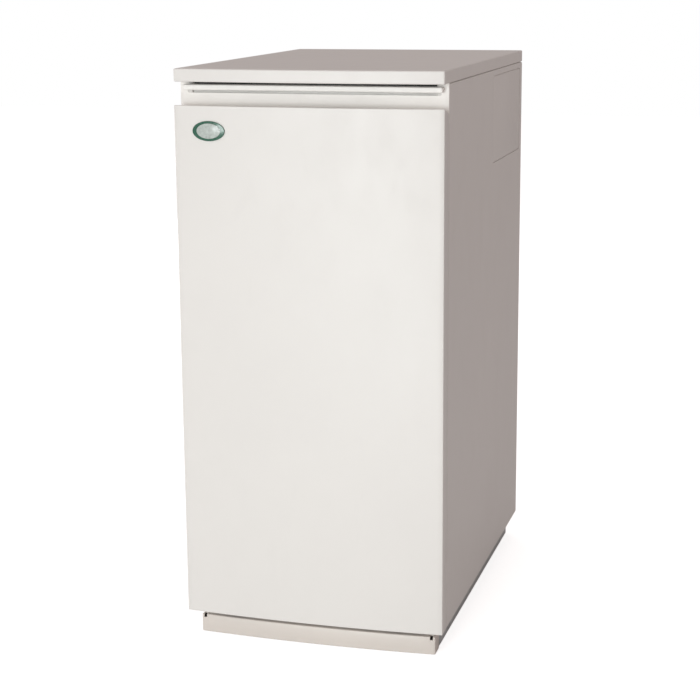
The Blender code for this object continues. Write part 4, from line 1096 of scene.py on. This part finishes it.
def build_rocker(face, x, z):
    """The red rocker, tilted to off, with its bar and ring marks."""
    tilt = math.radians(9)

    def turned(up, out):
        across, rise = math.cos(tilt), math.sin(tilt)
        return (face + 2 + out * across - up * rise, z + out * rise + up * across)

    outline = [turned(up, out) for up, out in ((-13, -4.5), (0, -2), (13, -4.5), (13, 5), (-13, 5))]
    rocker = Piece().prism(outline, x - 10, x + 10, "X", 0.8, 3)
    rocker.finish("rocker_moulding", "red_plastic", ["power_switch"], body="power_switch")
    marks = Piece()
    bar = [turned(up, out) for up, out in ((4.5, -3.2), (10, -4.25), (10, -3.6), (4.5, -2.5))]
    marks.prism(bar, x - 0.7, x + 0.7, "X")
    inner, outer = spaced(20, 2), spaced(20, 3)
    quads = [(0, 1, 2, 3), (4, 5, 6, 7), (0, 1, 5, 4), (1, 2, 6, 5), (2, 3, 7, 6), (3, 0, 4, 7)]
    for i in range(20):
        j = (i + 1) % 20
        vertices = []
        for lift in (0.25, -0.4):
            for across, along in (inner[i], inner[j], outer[j], outer[i]):
                up = along - 7.2
                y, height = turned(up, -2 - 2.5 * abs(up) / 13 - lift)
                vertices.append((x + across, y, height))
        bmesh.ops.recalc_face_normals(marks.shape, faces=marks.faces_of(vertices, quads))
    marks.finish("rocker_marks", "white_print", slot="red_plastic", body="power_switch")


# ---------------------------------------------------------------- services


def build_oil_line():
    """The oil valve with its union nuts, and its lever."""
    low, high = mm_box("oil_valve")
    lever_low, lever_high = mm_box("oil_valve_lever")
    pipe = middle("oil_inlet_pipe")
    at = Vector((pipe.x, lever_low.y + 8, pipe.z))
    valve = Piece().rod((at.x, 0, at.z), "Y", 8, low.y + 9, high.y - 9, 1)
    nuts = ((17, low.y + 7, low.y + 15), (17, high.y - 15, high.y - 7), (14, low.y, low.y + 7.5))
    for across, near, far in (*nuts, (14, high.y - 7.5, high.y)):
        valve.hexagon((at.x, 0, at.z), "Y", across, near, far)
    valve.rod((at.x, at.y, 0), "Z", 7, at.z, high.z, 0.6)
    valve.finish("oil_cock", "brass", ["oil_valve"])
    lever = Piece().rod((at.x, at.y, 0), "Z", 8, lever_low.z, lever_high.z, 1)
    tip = lever_high.y
    half_arm = [(5, at.y), (4, tip - 14), (5.4, tip - 6), (3, tip)]
    arm = [(at.x - x, y) for x, y in half_arm] + [(at.x + x, y) for x, y in half_arm[::-1]]
    lever.prism(arm, lever_low.z + 1, lever_high.z - 1, "Z", 1.2, 3)
    lever.hexagon((at.x, at.y, 0), "Z", 8, lever_high.z - 0.5, lever_high.z + 3)
    lever.finish("cock_lever", "red_plastic", ["oil_valve_lever"], body="oil_valve_lever")


# ---------------------------------------------------------------- stage


def build_stage():
    """A pale floor, soft light mostly from the front, and the camera.

    The floor glows and the world is white to the camera only. Lamps and a dimmer ambient light the object.
    """
    scene = bpy.context.scene
    scene.view_settings.view_transform = "Standard"
    floor = Piece()
    size = 9000
    corners = ((-size, -size), (size, -size), (size, size), (-size, size))
    floor.faces_of([(x, y, -0.5) for x, y in corners], [(0, 1, 2, 3)])
    ground = floor.placed("floor")
    g = Graph("pale_floor")
    g.set(Roughness=0.9)
    g.colour(g.blend(g.remap(g.noise(2, 3), 0, 1), (0.79, 0.79, 0.79), (0.81, 0.81, 0.81)))
    seen = g.remap(g.node("ShaderNodeLightPath").outputs["Is Camera Ray"], 0.0, 0.72, 0, 1)
    glow = g.node("ShaderNodeEmission", {"Color": (1, 1, 1, 1), "Strength": seen})
    both = g.node("ShaderNodeAddShader", {0: g.shader.outputs[0], 1: glow.outputs[0]})
    g.link(both.outputs[0], g.tree.nodes["Material Output"].inputs["Surface"])
    ground.data.materials.append(g.material)

    world = bpy.data.worlds.new("studio")
    world.use_nodes = True
    tree = world.node_tree
    backdrop = tree.nodes["Background"]
    backdrop.inputs["Color"].default_value = (1, 1, 1, 1)
    ambient = add_node(tree, "ShaderNodeBackground", {"Color": (0.425, 0.38, 0.37, 1)})
    rays = add_node(tree, "ShaderNodeLightPath").outputs["Is Camera Ray"]
    mix = add_node(tree, "ShaderNodeMixShader", {0: rays, 1: ambient.outputs[0], 2: backdrop.outputs[0]})
    tree.links.new(mix.outputs[0], tree.nodes["World Output"].inputs["Surface"])
    scene.world = world

    light("key", (-1.0, -6.0, 0.95), (0, 0, 0.4), 2.4, 157, (0.94, 1, 1))
    light("low_fill", (-0.1, -1.5, 0.15), (0, -0.3, 0.1), 0.4, 2.2, (0.94, 1, 1))
    light("top_fill", (0, 0.1, 4.0), (0, 0, 0.8), 1.6, 8)
    light("rear_fill", (-2.6, 3.2, 0.75), (0, 0, 0.45), 1.6, 35)

    camera = bpy.data.cameras.new("camera")
    camera.lens = 86.0
    camera.sensor_width = 36
    camera.shift_y = -0.03
    eye = bpy.data.objects.new("camera", camera)
    eye.location = (0.7105, -2.578, 1.0023)
    eye.rotation_euler = (math.radians(77.86), math.radians(0.41), math.radians(15.9))
    scene.collection.objects.link(eye)
    scene.camera = eye


def light(name, place, target, size, power, colour=(1, 1, 1)):
    lamp = bpy.data.lights.new(name, "AREA")
    lamp.size = size
    lamp.energy = power
    lamp.color = colour
    made = bpy.data.objects.new(name, lamp)
    made.location = place
    made.rotation_euler = (Vector(target) - Vector(place)).to_track_quat("-Z", "Y").to_euler()
    bpy.context.scene.collection.objects.link(made)


def dress_nodes():
    """Gives every CAD node that still shows its finish."""
    slots = {row["node"]: row["material_slot"] for row in frame["record"]["subparts"]}
    for name, node in frame["nodes"].items():
        if node.hide_render:
            continue
        node.data.materials.clear()
        node.data.materials.append(LOOKS["hood_steel" if name == "flue_hood" else slots[name]])


build_case()
build_rear()
build_stubs()
build_wrap()
build_boiler_front()
build_motor()
build_fan_case()
build_pump()
build_burner_control()
build_fascia()
build_oil_line()
dress_nodes()
build_stage()
